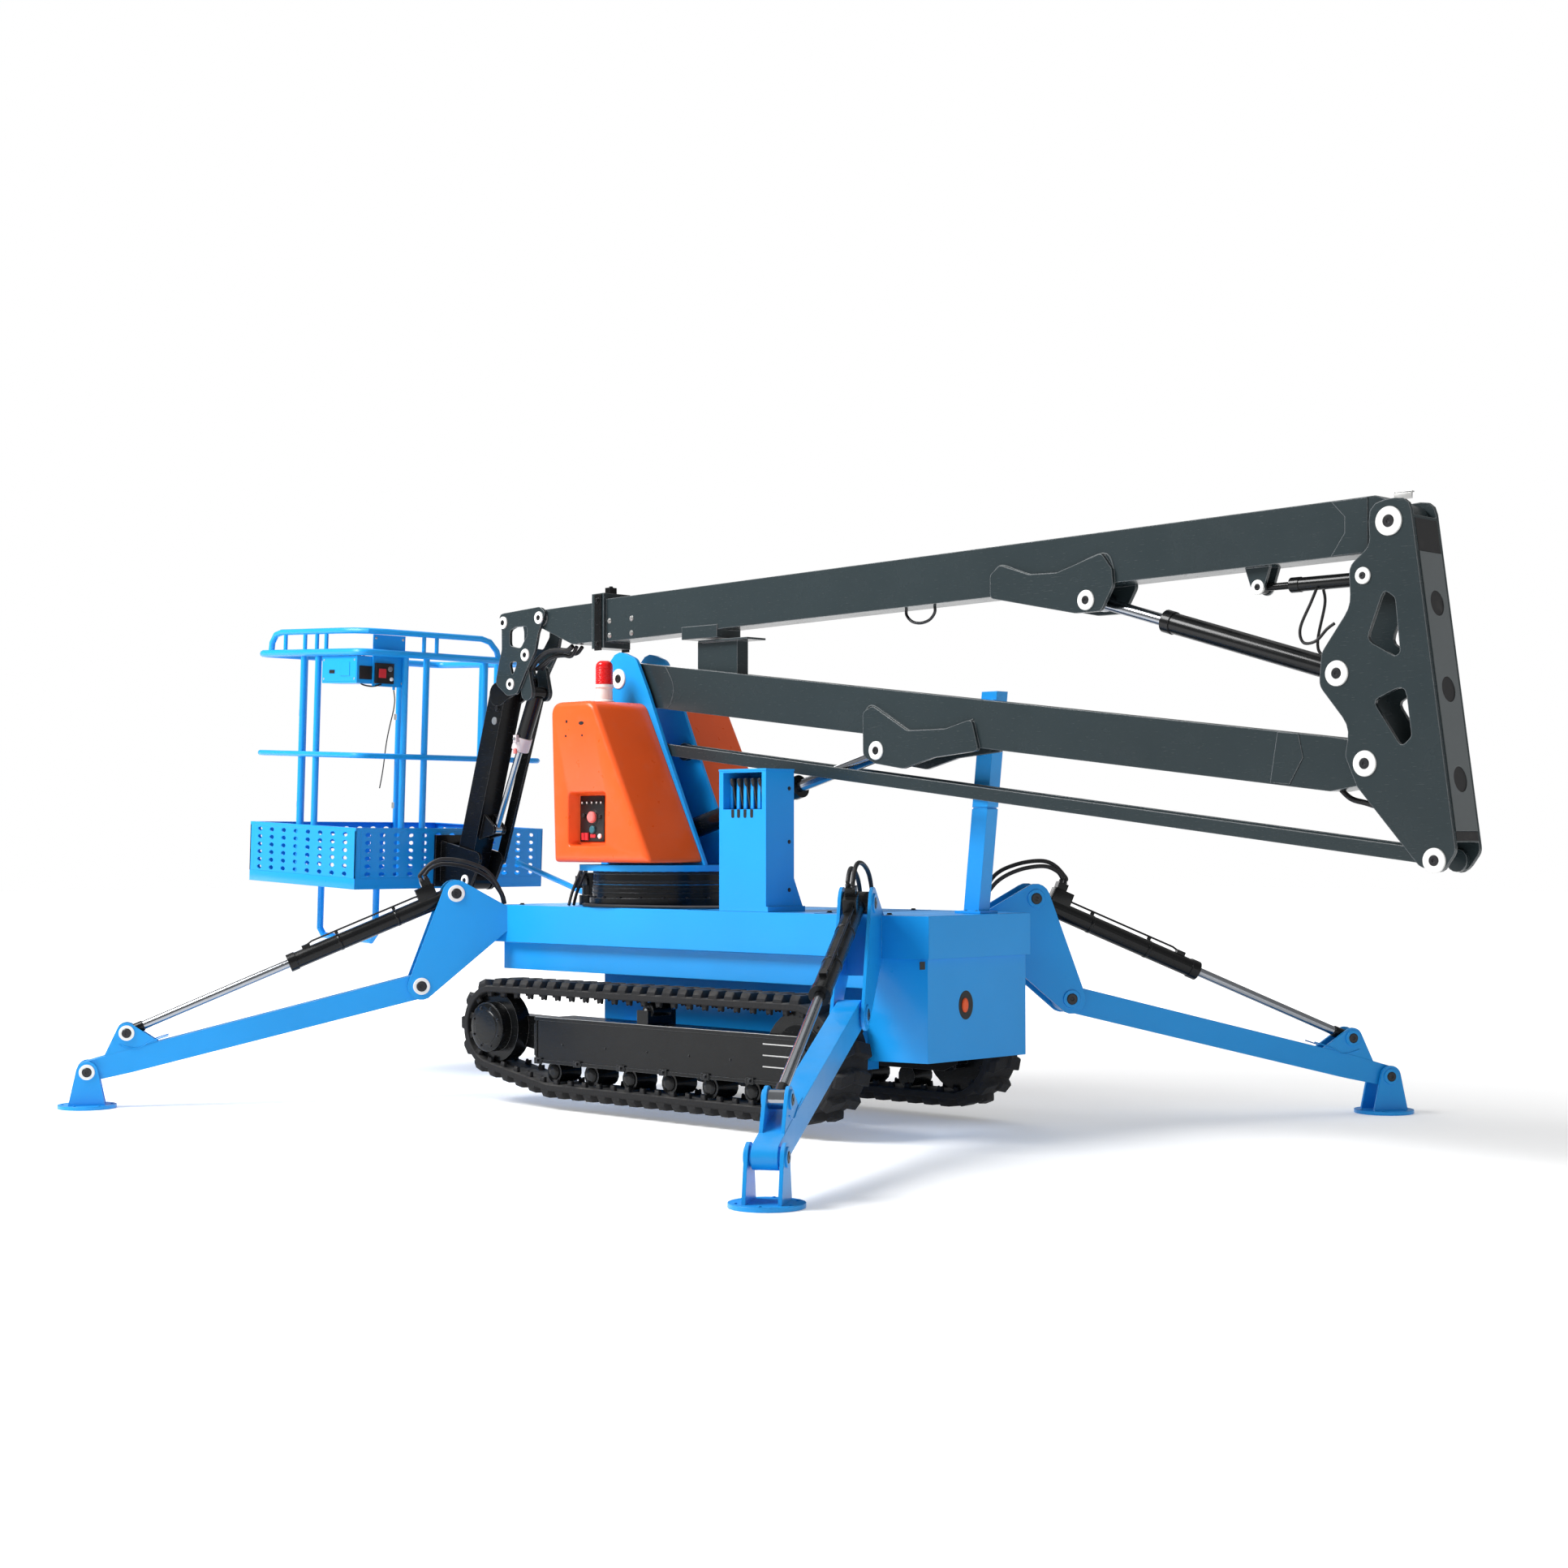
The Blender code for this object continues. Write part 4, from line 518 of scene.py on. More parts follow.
def piece(name, shape, body, finish, replaces=(), angle=35.0):
    """Makes one named piece of the shape; it rides its body, or none where the body is None."""
    bmesh.ops.recalc_face_normals(shape.work, faces=shape.work.faces)
    mesh = bpy.data.meshes.new(name)
    shape.work.to_mesh(mesh)
    shape.work.free()
    mesh.materials.append(finish)
    mesh.shade_smooth()
    mesh.set_sharp_from_angle(angle=radians(angle))
    made = bpy.data.objects.new(name, mesh)
    bpy.context.scene.collection.objects.link(made)
    if body:
        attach(made, body)
    if replaces:
        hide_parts(*replaces)
    return made


def loose_hose(name, line, radius, place=MACHINE):
    shape = Shape(place)
    shape.pipe(smooth(line, 7), radius)
    return piece(name, shape, None, HOSE)


def circle_bolts(centre, radius, count, share=0.0):
    """Places round a circle, the first one turned by a share of a step."""
    turns = [tau * (i + share) / count for i in range(count)]
    return [(centre[0] + radius * cos(turn), centre[1] + radius * sin(turn)) for turn in turns]


def circle(centre, radius, sides=24, stretch=1.0):
    """An outline round a centre; stretch widens it."""
    return [(centre[0] + radius * stretch * cos(tau * i / sides), centre[1] + radius * sin(tau * i / sides))
            for i in range(sides)]


def cross(origin, a, b):
    return (a[0] - origin[0]) * (b[1] - origin[1]) - (a[1] - origin[1]) * (b[0] - origin[0])


def around(*circles, sides=96):
    """The convex outline round circles (x, z, radius)."""
    points = sorted({(round(x, 6), round(z, 6)) for cx, cz, radius in circles
                     for x, z in circle((cx, cz), radius, sides)})
    outline = []
    for run in (points, points[::-1]):
        side = []
        for point in run:
            while len(side) > 1 and cross(side[-2], side[-1], point) <= 1e-9:
                side.pop()
            side.append(point)
        outline += side[:-1]
    return outline


def rounded(corners, steps=4):
    """An outline of corners (x, z, radius), each rounded by an arc."""
    outline = []
    for i, (x, z, radius) in enumerate(corners):
        here = Vector((x, z))
        before = Vector(corners[i - 1][:2]) - here
        after = Vector(corners[(i + 1) % len(corners)][:2]) - here
        half = before.angle(after) / 2
        reach = min(radius / max(0.05, sin(half) / cos(half)), before.length / 2.2, after.length / 2.2)
        first, last = here + before.normalized() * reach, here + after.normalized() * reach
        for k in range(steps + 1):
            share = k / steps
            outline.append(tuple(first.lerp(here, share).lerp(here.lerp(last, share), share)))
    return outline


# Pins: a washer's ring round a dark pin head, at each end of each pin

NEAR, BOTH = (-1,), (-1, 1)
PINS = (  # name, body, then each pin's (x, z), radius, how far out it reaches, and sides
    ("turret", "turret", (((-0.503, 1.727), 0.04, 0.095, BOTH),)),
    ("lower_boom", "lower_boom", (((0.899, 1.398), 0.034, 0.078, BOTH),)),
    ("yoke", "elbow_yoke", (((3.042, 2.055), 0.045, 0.087, BOTH), ((2.855, 1.591), 0.04, 0.087, BOTH),
                            ((2.953, 1.305), 0.04, 0.087, BOTH), ((3.191, 1.004), 0.038, 0.087, BOTH),
                            ((2.95, 1.892), 0.026, 0.087, BOTH))),
    ("upper_boom", "upper_boom", (((1.867, 1.89), 0.034, 0.078, BOTH),
                                  ((2.53, 1.89), 0.024, 0.0325, BOTH))),
    ("head", "jib_head", (((-1.034, 2.013), 0.026, 0.074, NEAR), ((-1.272, 2.006), 0.026, 0.074, NEAR),
                          ((-1.124, 1.859), 0.026, 0.074, NEAR), ((-1.222, 1.738), 0.024, 0.074, NEAR))),
    ("bracket", "basket", (((-1.53, 0.89), 0.024, 0.074, NEAR),)),
)
LEG_PINS = (  # the same in a leg's own frame, where {} is the leg's name
    ("bracket", "chassis", (((0.0, 0.847), 0.034, 0.064, BOTH), ((0.141, 0.468), 0.034, 0.064, BOTH))),
    ("beam", "leg_{}", (((1.308, 0.297), 0.03, 0.044, BOTH),)),
    ("foot", "foot_{}", (((1.459, 0.146), 0.03, 0.064, BOTH),)),
)


def pin_ends(name, body, rows, place, inner, washer):
    """Rings and heads of some pins; inner is the head's share of the ring's radius."""
    rings, heads = Shape(place), Shape(place)
    edge, thick, proud = 0.0016, 0.007, 0.0014
    for (x, z), radius, reach, sides in rows:
        outer, size = radius + 0.0006, radius * inner
        hole = outer * inner
        washer_profile = [(hole, 0.0), (outer, 0.0), (outer, thick - edge), (outer - edge, thick),
                          (hole, thick)]
        head_profile = [(size * 1.04, -0.006), (size * 1.04, 0.0006), (size * 0.86, 0.0034),
                        (size * 0.34, 0.0034), (size * 0.26, 0.001)]
        for side in sides:
            start = (x, side * (reach - thick + proud), z)
            rings.turned(washer_profile, start, (0, side, 0), 36, closed=True)
            heads.turned(head_profile, (x, side * reach, z), (0, side, 0), 28)
    piece(name + "_pin_rings", rings, body, washer)
    piece(name + "_pin_heads", heads, body, DARK_STEEL)


def pins():
    for name, body, rows in PINS:
        pin_ends(name, body, rows, MACHINE, 0.44, WHITE)
    for leg, place in LEG_FRAMES.items():
        for part, body, rows in LEG_PINS:
            washer = WHITE if leg.startswith("rear") else BLUE
            pin_ends(f"{part}_{leg}", body.format(leg), rows, place, 0.62, washer)


# Rubber tracks

# Drive wheel, idler and rearmost lower roller: x, z, radius of the belt's inner face
WHEELS = ((-0.815, 0.31, 0.141), (0.895, 0.28, 0.176), (-0.45, 0.217, 0.113))
BELT, LUG, PITCH, BELT_INNER, BELT_OUTER = 0.027, 0.028, 0.083, 0.337, 0.512


class BeltLine:
    """The line round the wheels at one distance from them, read by its length."""

    def __init__(self, offset):
        self.points = around(*[(x, z, radius + offset) for x, z, radius in WHEELS])
        self.reach = [0.0]
        for a, b in zip(self.points, self.points[1:] + self.points[:1]):
            self.reach.append(self.reach[-1] + hypot(b[0] - a[0], b[1] - a[1]))
        self.length = self.reach[-1]

    def at(self, distance):
        """The place, the way forward and the way out at a distance along the line."""
        distance %= self.length
        i = max(k for k in range(len(self.points)) if self.reach[k] <= distance)
        a, b = Vector(self.points[i]), Vector(self.points[(i + 1) % len(self.points)])
        span = self.reach[i + 1] - self.reach[i]
        share = (distance - self.reach[i]) / span
        ahead = (b - a).normalized()
        return a.lerp(b, share), ahead, Vector((ahead.y, -ahead.x))

    def section(self, distance, side, points):
        """The places of points (y, along, height) at a distance along the line."""
        place, ahead, out = self.at(distance)
        spots = [(y, place + ahead * along + out * height) for y, along, height in points]
        return [(spot.x, side * y, spot.y) for y, spot in spots]


def belt_block(shape, line, distance, side, sections):
    """A block on the belt: sections of (y, half length, offset ahead, low, high, top's share of length)."""
    soft = 0.004
    shape.rings([line.section(distance, side, [
        (y, offset + along, height) for along, height in (
            (-half, start), (-half * top, end - soft), (-half * top + soft, end),
            (half * top - soft, end), (half * top, end - soft), (half, start))])
        for y, half, offset, start, end, top in sections])


def tracks():
    line = BeltLine(0.0005)
    count = round(line.length / PITCH)
    step = line.length / count
    samples = count * 6
    band = [(y, 0.0, height) for y, height in (
        (BELT_INNER + 0.003, 0.0), (BELT_OUTER - 0.003, 0.0), (BELT_OUTER, 0.004),
        (BELT_OUTER, BELT - 0.005), (BELT_OUTER - 0.004, BELT), (BELT_INNER + 0.004, BELT),
        (BELT_INNER, BELT - 0.005), (BELT_INNER, 0.004))]
    top, foot = BELT + LUG - 0.0006, BELT - 0.004
    middle = (BELT_INNER + BELT_OUTER) / 2
    inner_lug = ((0.0015, 0.024, -0.012, foot, foot + 0.014, 0.88), (0.014, 0.03, -0.01, foot, top, 0.8))
    waist = ((-0.016, 0.029, 0.004, foot, top, 0.82), (-0.006, 0.027, 0.006, foot, top - 0.008, 0.84),
             (0.006, 0.027, 0.006, foot, top - 0.008, 0.84), (0.016, 0.029, 0.004, foot, top, 0.82))
    lug = ([(BELT_INNER + y, *rest) for y, *rest in inner_lug] + [(middle + y, *rest) for y, *rest in waist]
           + [(BELT_OUTER - y, *rest) for y, *rest in inner_lug[::-1]])
    for name, side in (("right", -1), ("left", 1)):
        shape = Shape()
        shape.rings([line.section(i * line.length / samples, side, band) for i in range(samples)], True)
        for i in range(count):
            belt_block(shape, line, i * step, side, lug)
            for a, b in ((0.356, 0.372), (0.486, 0.502)):      # guides on the inner face
                belt_block(shape, line, (i + 0.5) * step, side, [
                    (y, half, 0.0, 0.002, end, share) for y, half, end, share in (
                        (a, 0.012, -0.012, 0.8), (a + 0.003, 0.015, -0.017, 0.7),
                        (b - 0.003, 0.015, -0.017, 0.7), (b, 0.012, -0.012, 0.8))])
        piece("rubber_belt_" + name, shape, "chassis", RUBBER, ("track_" + name,))


def track_gear():
    """Hub faces, bolts, edge strips, painted highlights and a roller's end cap on the track frames."""
    dark, bright, paint = Shape(), Shape(), Shape()
    (drive_x, drive_z, _), (idler_x, idler_z, _) = WHEELS[:2]
    back, front = -0.545, 0.925
    for side in BOTH:
        out = (0, side, 0)
        # drive motor's cover with its bolts, and the idler's hub
        paint.turned([(0.097, -0.004), (0.097, 0.003), (0.092, 0.006), (0.07, 0.006), (0.066, 0.009),
                      (0.02, 0.01)], (drive_x, side * 0.524, drive_z), out, 48)
        for x, z in circle_bolts((drive_x, drive_z), 0.081, 8, 0.5):
            dark.hex_head((x, side * 0.529, z), out, 0.0052, 0.005)
        paint.turned([(0.128, -0.004), (0.128, 0.004), (0.12, 0.008), (0.06, 0.01), (0.056, 0.02),
                      (0.03, 0.02)], (idler_x, side * 0.4785, idler_z), out, 48)
        dark.hex_head((idler_x, side * 0.498, idler_z), out, 0.016, 0.01)
        # beam: end plates, edge strips, foot lugs with bolts, and painted highlights
        for x in (-0.535, 0.915):
            paint.block((x - 0.005, side * 0.354, 0.196), (x + 0.005, side * 0.502, 0.352))
        for low_z, high_z in ((0.351, 0.3655), (0.184, 0.197)):
            paint.block((back, side * 0.496, low_z), (front, side * 0.501, high_z), 0.0015)
        for x in (-0.521, -0.286, -0.032, 0.205, 0.433, 0.666):
            paint.block((x - 0.02, side * 0.497, 0.18), (x + 0.02, side * 0.506, 0.204), 0.003)
            dark.hex_head((x, side * 0.505, 0.192), out, 0.0075, 0.006)
        for x in (-0.38, -0.128, 0.11, 0.34, 0.56):
            dark.hex_head((x, side * 0.497, 0.262), out, 0.0045, 0.003)
        # a thin bright strip along the beam's top edge: a painted highlight
        bright.block((back + 0.005, side * 0.4995, 0.364), (front, side * 0.5015, 0.3662), 0.0006)
        # three bright bars near the idler: painted highlights, for the light seen through the tensioner's
        # slots
        for z in (0.33, 0.289, 0.248):
            bright.block((0.728, side * 0.496, z - 0.0022), (0.905, side * 0.4992, z + 0.0022), 0.0008)
        # carrier roller's bolt end, and the lower rollers' end caps
        dark.hex_head((0.094, side * 0.4785, 0.419), out, 0.012, 0.008)
        bright.turned([(0.0075, 0.0), (0.0075, 0.0035), (0.004, 0.0045)],
                      (0.094, side * 0.487, 0.419), out, 20)
        for i in range(6):
            paint.turned([(0.03, -0.003), (0.03, 0.004), (0.024, 0.008), (0.01, 0.008)],
                         (-0.45 + i * (0.655 + 0.45) / 5, side * 0.478, 0.15), out, 24)
    piece("track_frame_trim", paint, "chassis", BLACK)
    piece("track_frame_bolts", dark, "chassis", DARK_STEEL)
    piece("track_frame_highlights_and_cap", bright, "chassis", STEEL)


# Basket

OVAL_SIDES = 10


def fence(shape, start, end, low_z, high_z, thick, columns, rows, hole):
    """A sheet standing between two plan points, with rows of oval holes, thickness to its left."""
    start, end = Vector(start), Vector(end)
    ahead = (end - start).normalized()
    side = Vector((-ahead.y, ahead.x))
    half_u, half_v = (end - start).length / columns / 2, (high_z - low_z) / rows / 2
    corners = [atan2(b * half_v, a * half_u) for a in BOTH for b in BOTH]
    cell, oval = [], []
    for turn in sorted([tau * (n + 0.5) / OVAL_SIDES - pi for n in range(OVAL_SIDES)] + corners):
        c, s = cos(turn), sin(turn)
        reach = min(half_u / max(abs(c), 1e-6), half_v / max(abs(s), 1e-6))
        cell.append((c * reach, s * reach))
        oval.append((c * hole[0], s * hole[1]))
    count = len(cell)
    for i in range(columns):
        for k in range(rows):
            u, v = (2 * i + 1) * half_u, low_z + (2 * k + 1) * half_v
            outer0, inner0, outer1, inner1 = [
                shape.vertices([(*(start + ahead * (u + along) + side * depth), v + up)
                                for along, up in line])
                for depth in (0.0, thick) for line in (cell, oval)]
            for a in range(count):
                b = (a + 1) % count
                shape.work.faces.new((outer0[a], outer0[b], inner0[b], inner0[a]))
                shape.work.faces.new((outer1[b], outer1[a], inner1[a], inner1[b]))
                shape.work.faces.new((inner0[a], inner0[b], inner1[b], inner1[a]))


def basket_tray():
    """Floor, perforated toe boards with their plain borders, and the lip round the top."""
    shape = Shape(TILT)
    back, front, half = -2.52, -1.72, 0.525
    floor, top, wall, margin, lip = 0.853, 1.12, 0.006, 0.03, 0.016
    shape.block((back + 0.003, -half + 0.003, floor), (front - 0.003, half - 0.003, floor + 0.012))
    low_z, high_z, hole = floor + 0.048, top - 0.014, (0.017, 0.0098)
    for start, end, columns in (((back + margin, -half), (front - margin, -half), 8),
                                ((front, -half + margin), (front, half - margin), 13),
                                ((front - margin, half), (back + margin, half), 8),
                                ((back, half - margin), (back, -half + margin), 13)):
        fence(shape, start, end, low_z, high_z, wall, columns, 6, hole)
    inner_back, inner_front, inner_half = back + wall, front - wall, half - wall
    for x0, x1, y0, y1 in ((back, front, -half, -inner_half), (back, front, inner_half, half),
                           (inner_front, front, -inner_half, inner_half),
                           (back, inner_back, -inner_half, inner_half)):
        shape.block((x0, y0, floor), (x1, y1, low_z), 0.0008, 1)
        shape.block((x0, y0, high_z), (x1, y1, top - 0.0005), 0.0008, 1)
    for x in (back, front - margin):
        for y in (-half, inner_half):
            shape.block((x, y, low_z), (x + margin, y + wall, high_z), 0.0)
    for x in (back, inner_front):
        for y in (-half, half - margin):
            shape.block((x, y, low_z), (x + wall, y + margin, high_z), 0.0)
    for x0, x1, y0, y1 in ((inner_back, inner_front, -inner_half, -inner_half + lip),
                           (inner_back, inner_front, inner_half - lip, inner_half),
                           (inner_front - lip, inner_front, -inner_half, inner_half),
                           (inner_back, inner_back + lip, -inner_half, inner_half)):
        shape.block((x0, y0, top - 0.005), (x1, y1, top - 0.001), 0.0)
    piece("basket_tray_sheet", shape, "basket", BLUE, ("basket_tray",))
    tread = Shape(TILT)
    tread.block((back + 0.01, -half + 0.01, floor + 0.0118),
                (front - 0.01, half - 0.01, floor + 0.0135), 0.0)
    piece("basket_floor_plate", tread, "basket", TREAD_BLUE)


def basket_fittings():
    """Control box's covers, levers and knobs, the plate's instruments, and the gate's hinges."""
    light, dark, red, white, steel, grey = [Shape(TILT) for _ in range(6)]
    # near face's cover, its slot as a dark block of painted shade, its flap, and screws
    light.block((-2.02, -0.5125, 1.752), (-1.768, -0.5085, 1.857), 0.0015)
    dark.block((-1.965, -0.5138, 1.787), (-1.925, -0.512, 1.803), 0.001)
    light.block((-1.88, -0.5145, 1.776), (-1.815, -0.512, 1.836), 0.0012)
    for x in (-2.006, -1.782):
        for z in (1.764, 1.846):
            steel.turned([(0.0045, 0.0), (0.0045, 0.0016), (0.003, 0.0024)], (x, -0.5123, z), (0, -1, 0), 14)
    # top plate with levers and the emergency knob
    dark.block((-2.008, -0.5, 1.863), (-1.78, -0.41, 1.8652), 0.001)
    for i in range(5):
        x = -1.985 + i * 0.034
        tip = (x + 0.003, -0.442, 1.886)
        dark.turned([(0.01, 0.0), (0.0085, 0.006), (0.0035, 0.01)], (x, -0.44, 1.865), UP, 16)
        steel.rod((x, -0.44, 1.87), (x + 0.003, -0.442, 1.889), 0.0022, 8)
        dark.turned([(0.002, 0.0), (0.0055, 0.003), (0.006, 0.007), (0.004, 0.011)], tip,
                    (0.1, -0.06, 1), 14)
    red.turned([(0.006, 0.0), (0.006, 0.006), (0.014, 0.009), (0.014, 0.014), (0.01, 0.018)],
               (-1.805, -0.448, 1.865), UP, 24)
    # dark instrument between box and plate, its red patch and knobs, and its lead
    dark.block((-1.829, -0.4995, 1.762), (-1.7614, -0.43, 1.822), 0.004)
    dark.block((-1.7556, -0.425, 1.748), (-1.742, -0.33, 1.836), 0.004)
    red.block((-1.7425, -0.411, 1.772), (-1.74, -0.372, 1.812), 0.0012)
    red.block((-1.812, -0.5012, 1.782), (-1.786, -0.499, 1.8), 0.001)
    grey.turned([(0.012, 0.0), (0.012, 0.004), (0.008, 0.007)], (-1.742, -0.352, 1.812), (1, 0, 0), 20)
    white.turned([(0.0085, 0.0), (0.0085, 0.006), (0.006, 0.009)], (-1.7425, -0.345, 1.768), (1, 0, 0), 20)
    dark.pipe(smooth([(-1.8, -0.47, 1.765), (-1.79, -0.465, 1.742), (-1.762, -0.43, 1.734),
                      (-1.75, -0.39, 1.744)], 6), 0.0035, 8)
    for y in (-0.42, -0.276):
        for z in (1.752, 1.944):
            steel.hex_head((-1.7554, y, z), (1, 0, 0), 0.0042, 0.0035)
    # gate's hinges and latch at the rear posts
    for y in (-0.27, 0.27):
        for z in (1.2, 1.62):
            steel.turned([(0.0172, -0.014), (0.0172, 0.014)], (-2.506, y, z), UP, 18)
    for name, shape, finish in (("covers", light, BLUE), ("instruments", dark, PANEL),
                                ("red_parts", red, RED_KNOB), ("knob", white, WHITE),
                                ("screws", steel, STEEL), ("dial", grey, GREY_CAP)):
        piece("basket_" + name, shape, "basket", finish)


# Console with its levers

def console():
    slots, levers, knobs, dark, skin = [Shape() for _ in range(5)]
    face, half_slot, lever_pitch = -0.338, 0.0075, 0.037
    # back panel of the window: bars between slots, and a lever with its knob over each slot
    dark.block((0.364, -0.296, 1.1835), (0.56, -0.29, 1.3), 0.001)
    for i in range(6):
        x = 0.368 + i * lever_pitch
        skin.block((x - half_slot, -0.304, 1.184), (x + half_slot, -0.295, 1.296), 0.0015)
    for i in range(5):
        x = 0.3865 + i * lever_pitch
        levers.rod((x, -0.295, 1.196), (x, -0.312, 1.276), 0.0042, 12)
        knobs.turned([(0.005, 0.0), (0.0085, 0.006), (0.01, 0.016), (0.01, 0.026), (0.0065, 0.032)],
                     (x, -0.3105, 1.268), (0, -0.2, 1), 18)
    # upright slots in the window's sill, drawn as thin dark plates of painted shade
    for x in (0.411, 0.442, 0.476, 0.511):
        x0, x1, z0, z1 = x - half_slot, x + half_slot, 1.15, 1.1815
        outline = rounded([(x0, z0, 0.006), (x1, z0, 0.006), (x1, z1, 0.002), (x0, z1, 0.002)])
        slots.plate(outline, face - 0.0008, 0.001)
    # bolts on both cheeks, and a lid over the top
    for z in (0.88, 1.06, 1.26):
        dark.hex_head((0.5858, -0.214, z), (1, 0, 0), 0.0055, 0.004)
        dark.hex_head((0.3382, -0.214, z), (-1, 0, 0), 0.0055, 0.004)
    skin.block((0.3365, -0.3395, 1.326), (0.5875, -0.1865, 1.3335), 0.0018)
    # foot: bolts on the deck, and a gusset at each cheek
    for x in (0.372, 0.462, 0.552):
        dark.hex_head((x, -0.158, 0.819), UP, 0.0075, 0.006)
    for x in (0.58, 0.339):
        skin.plate([(-0.19, 0.815), (-0.138, 0.815), (-0.19, 0.93)], x, 0.005, "x")
    piece("console_skin", skin, "chassis", BLUE)
    piece("console_lever_bars", levers, "chassis", DARK_STEEL, ("console_levers",))
    piece("console_knobs", knobs, "chassis", PANEL)
    piece("console_valves", dark, "chassis", DARK_STEEL)
    piece("console_slot_shade", slots, "chassis", PANEL)


# Moulded covers, with the control panel in the right one

COVER = [(-0.575, 0.978), (-0.006, 0.978), (-0.344, 1.622), (-0.6, 1.622)]
COVER_ROUNDING = (0.014, 0.014, 0.07, 0.055)
COVER_INNER, COVER_OUTER, COVER_SOFT = 0.0913, 0.38, 0.024
RECESS = (-0.489, -0.256, 1.038, 1.262)     # x from, x to, z from, z to
RECESS_BACK = 0.32


def inset(corners, amount):
    """The outline moved inwards by one amount."""
    found = []
    for i, corner in enumerate(corners):
        here = Vector(corner)
        before = (here - Vector(corners[i - 1])).normalized()
        after = (Vector(corners[(i + 1) % len(corners)]) - here).normalized()
        normals = [Vector((-v.y, v.x)) for v in (before, after)]
        bisector = (normals[0] + normals[1]) / (1 + normals[0].dot(normals[1]))
        found.append(tuple(here + bisector * amount))
    return found


def cover(side, recess):
    """One closed shell with a soft outer edge, and in it the control panel's recess."""
    shape = Shape()
    base = rounded([(*corner, size) for corner, size in zip(COVER, COVER_ROUNDING)], 7)
    rings = [[(x, side * (COVER_INNER + 0.0006), z) for x, z in base]]
    steps = 7
    for k in range(steps + 1):
        turn = pi / 2 * k / steps
        amount = COVER_SOFT * (1 - cos(turn))
        depth = COVER_OUTER - COVER_SOFT + COVER_SOFT * sin(turn)
        corners = zip(inset(COVER, amount), COVER_ROUNDING)
        outline = rounded([(*corner, max(0.01, size - amount)) for corner, size in corners], 7)
        rings.append([(x, side * depth, z) for x, z in outline])
    rows = shape.rings(rings, capped=False)
    face = rows[-1]
    shape.work.faces.new(rows[0])
    if not recess:
        shape.work.faces.new(face)
        return shape
    x0, x1, z0, z1 = RECESS

    def mouth(amount, radius, depth):
        """The recess's own ring of points, in from its edge and at a depth."""
        outline = rounded([(x0 + amount, z0 + amount, radius), (x1 - amount, z0 + amount, radius),
                           (x1 - amount, z1 - amount, radius), (x0 + amount, z1 - amount, radius)], 4)
        return shape.vertices([(x, side * (COVER_OUTER - depth), z) for x, z in outline])

    lip = mouth(0.0, 0.02, 0.0)
    edges = [shape.work.edges.get(pair) for pair in zip(face, face[1:] + face[:1])]
    edges += [shape.work.edges.new(pair) for pair in zip(lip, lip[1:] + lip[:1])]
    bmesh.ops.triangle_fill(shape.work, use_beauty=True, use_dissolve=False, edges=edges)
    deep = COVER_OUTER - RECESS_BACK
    for amount, depth in ((0.003, 0.0015), (0.0055, 0.005), (0.01, deep - 0.004), (0.014, deep)):
        row = mouth(amount, 0.018, depth)
        for i in range(len(row)):
            j = (i + 1) % len(row)
            shape.work.faces.new((lip[i], lip[j], row[j], row[i]))
        lip = row
    shape.work.faces.new(lip)
    return shape


def covers():
    piece("cover_shell_right", cover(-1, True), "turret", ORANGE, ("engine_cover_right",), 40)
    piece("cover_shell_left", cover(1, False), "turret", ORANGE, ("engine_cover_left",), 40)
    panel, red, pink, teal, white, dark = [Shape() for _ in range(6)]
    y = -RECESS_BACK
    out = (0, -1, 0)
    panel.block((-0.474, y - 0.005, 1.06), (-0.33, y + 0.001, 1.244), 0.003)
    for x in (-0.458, -0.429, -0.4, -0.371, -0.345):
        panel.turned([(0.0085, 0.0), (0.0085, 0.004), (0.006, 0.005)], (x, y - 0.004, 1.216), out, 18)
        white.block((x - 0.0035, y - 0.0098, 1.2125), (x + 0.0035, y - 0.0085, 1.22), 0.0004)
    for shape, x, z, radius, height in (
            (pink, -0.395, 1.158, 0.023, 0.018), (panel, -0.395, 1.158, 0.029, 0.004),
            (teal, -0.395, 1.108, 0.016, 0.01), (panel, -0.445, 1.165, 0.01, 0.012),
            (panel, -0.352, 1.16, 0.009, 0.008)):
        shape.turned([(radius, 0.0), (radius, height * 0.7), (radius * 0.8, height), (radius * 0.2, height)],
                     (x, y - 0.0045, z), out, 24)
    for x in (-0.45, -0.428):
        red.block((x - 0.009, y - 0.013, 1.066), (x + 0.009, y - 0.004, 1.096))
    red.block((-0.408, y - 0.009, 1.076), (-0.378, y - 0.004, 1.09))
    white.turned([(0.01, 0.0), (0.01, 0.006), (0.007, 0.008)], (-0.352, y - 0.0045, 1.082), out, 24)
    for x in (-0.468, -0.336):
        for z in (1.066, 1.238):
            dark.turned([(0.003, 0.0), (0.003, 0.0012)], (x, y - 0.005, z), out, 10)
    # dark discs near the top: painted shade inside the fixing holes
    for x, z, radius, stretch in ((-0.495, 1.542, 0.0065, 1.0), (-0.406, 1.533, 0.0075, 2.1),
                                  (-0.5, 1.484, 0.005, 1.0), (-0.401, 1.484, 0.005, 1.0)):
        for side in BOTH:
            dark.plate(circle((x, z), radius, 24, stretch), side * (COVER_OUTER - 0.0006), side * 0.001)
    for name, shape, finish in (("face", panel, PANEL), ("red_switches", red, RED_KNOB),
                                ("stop_knob", pink, PINK_KNOB), ("teal_knob", teal, TEAL_KNOB),
                                ("marks", white, WHITE), ("holes", dark, PANEL)):
        piece("ground_panel_" + name, shape, "turret", finish)


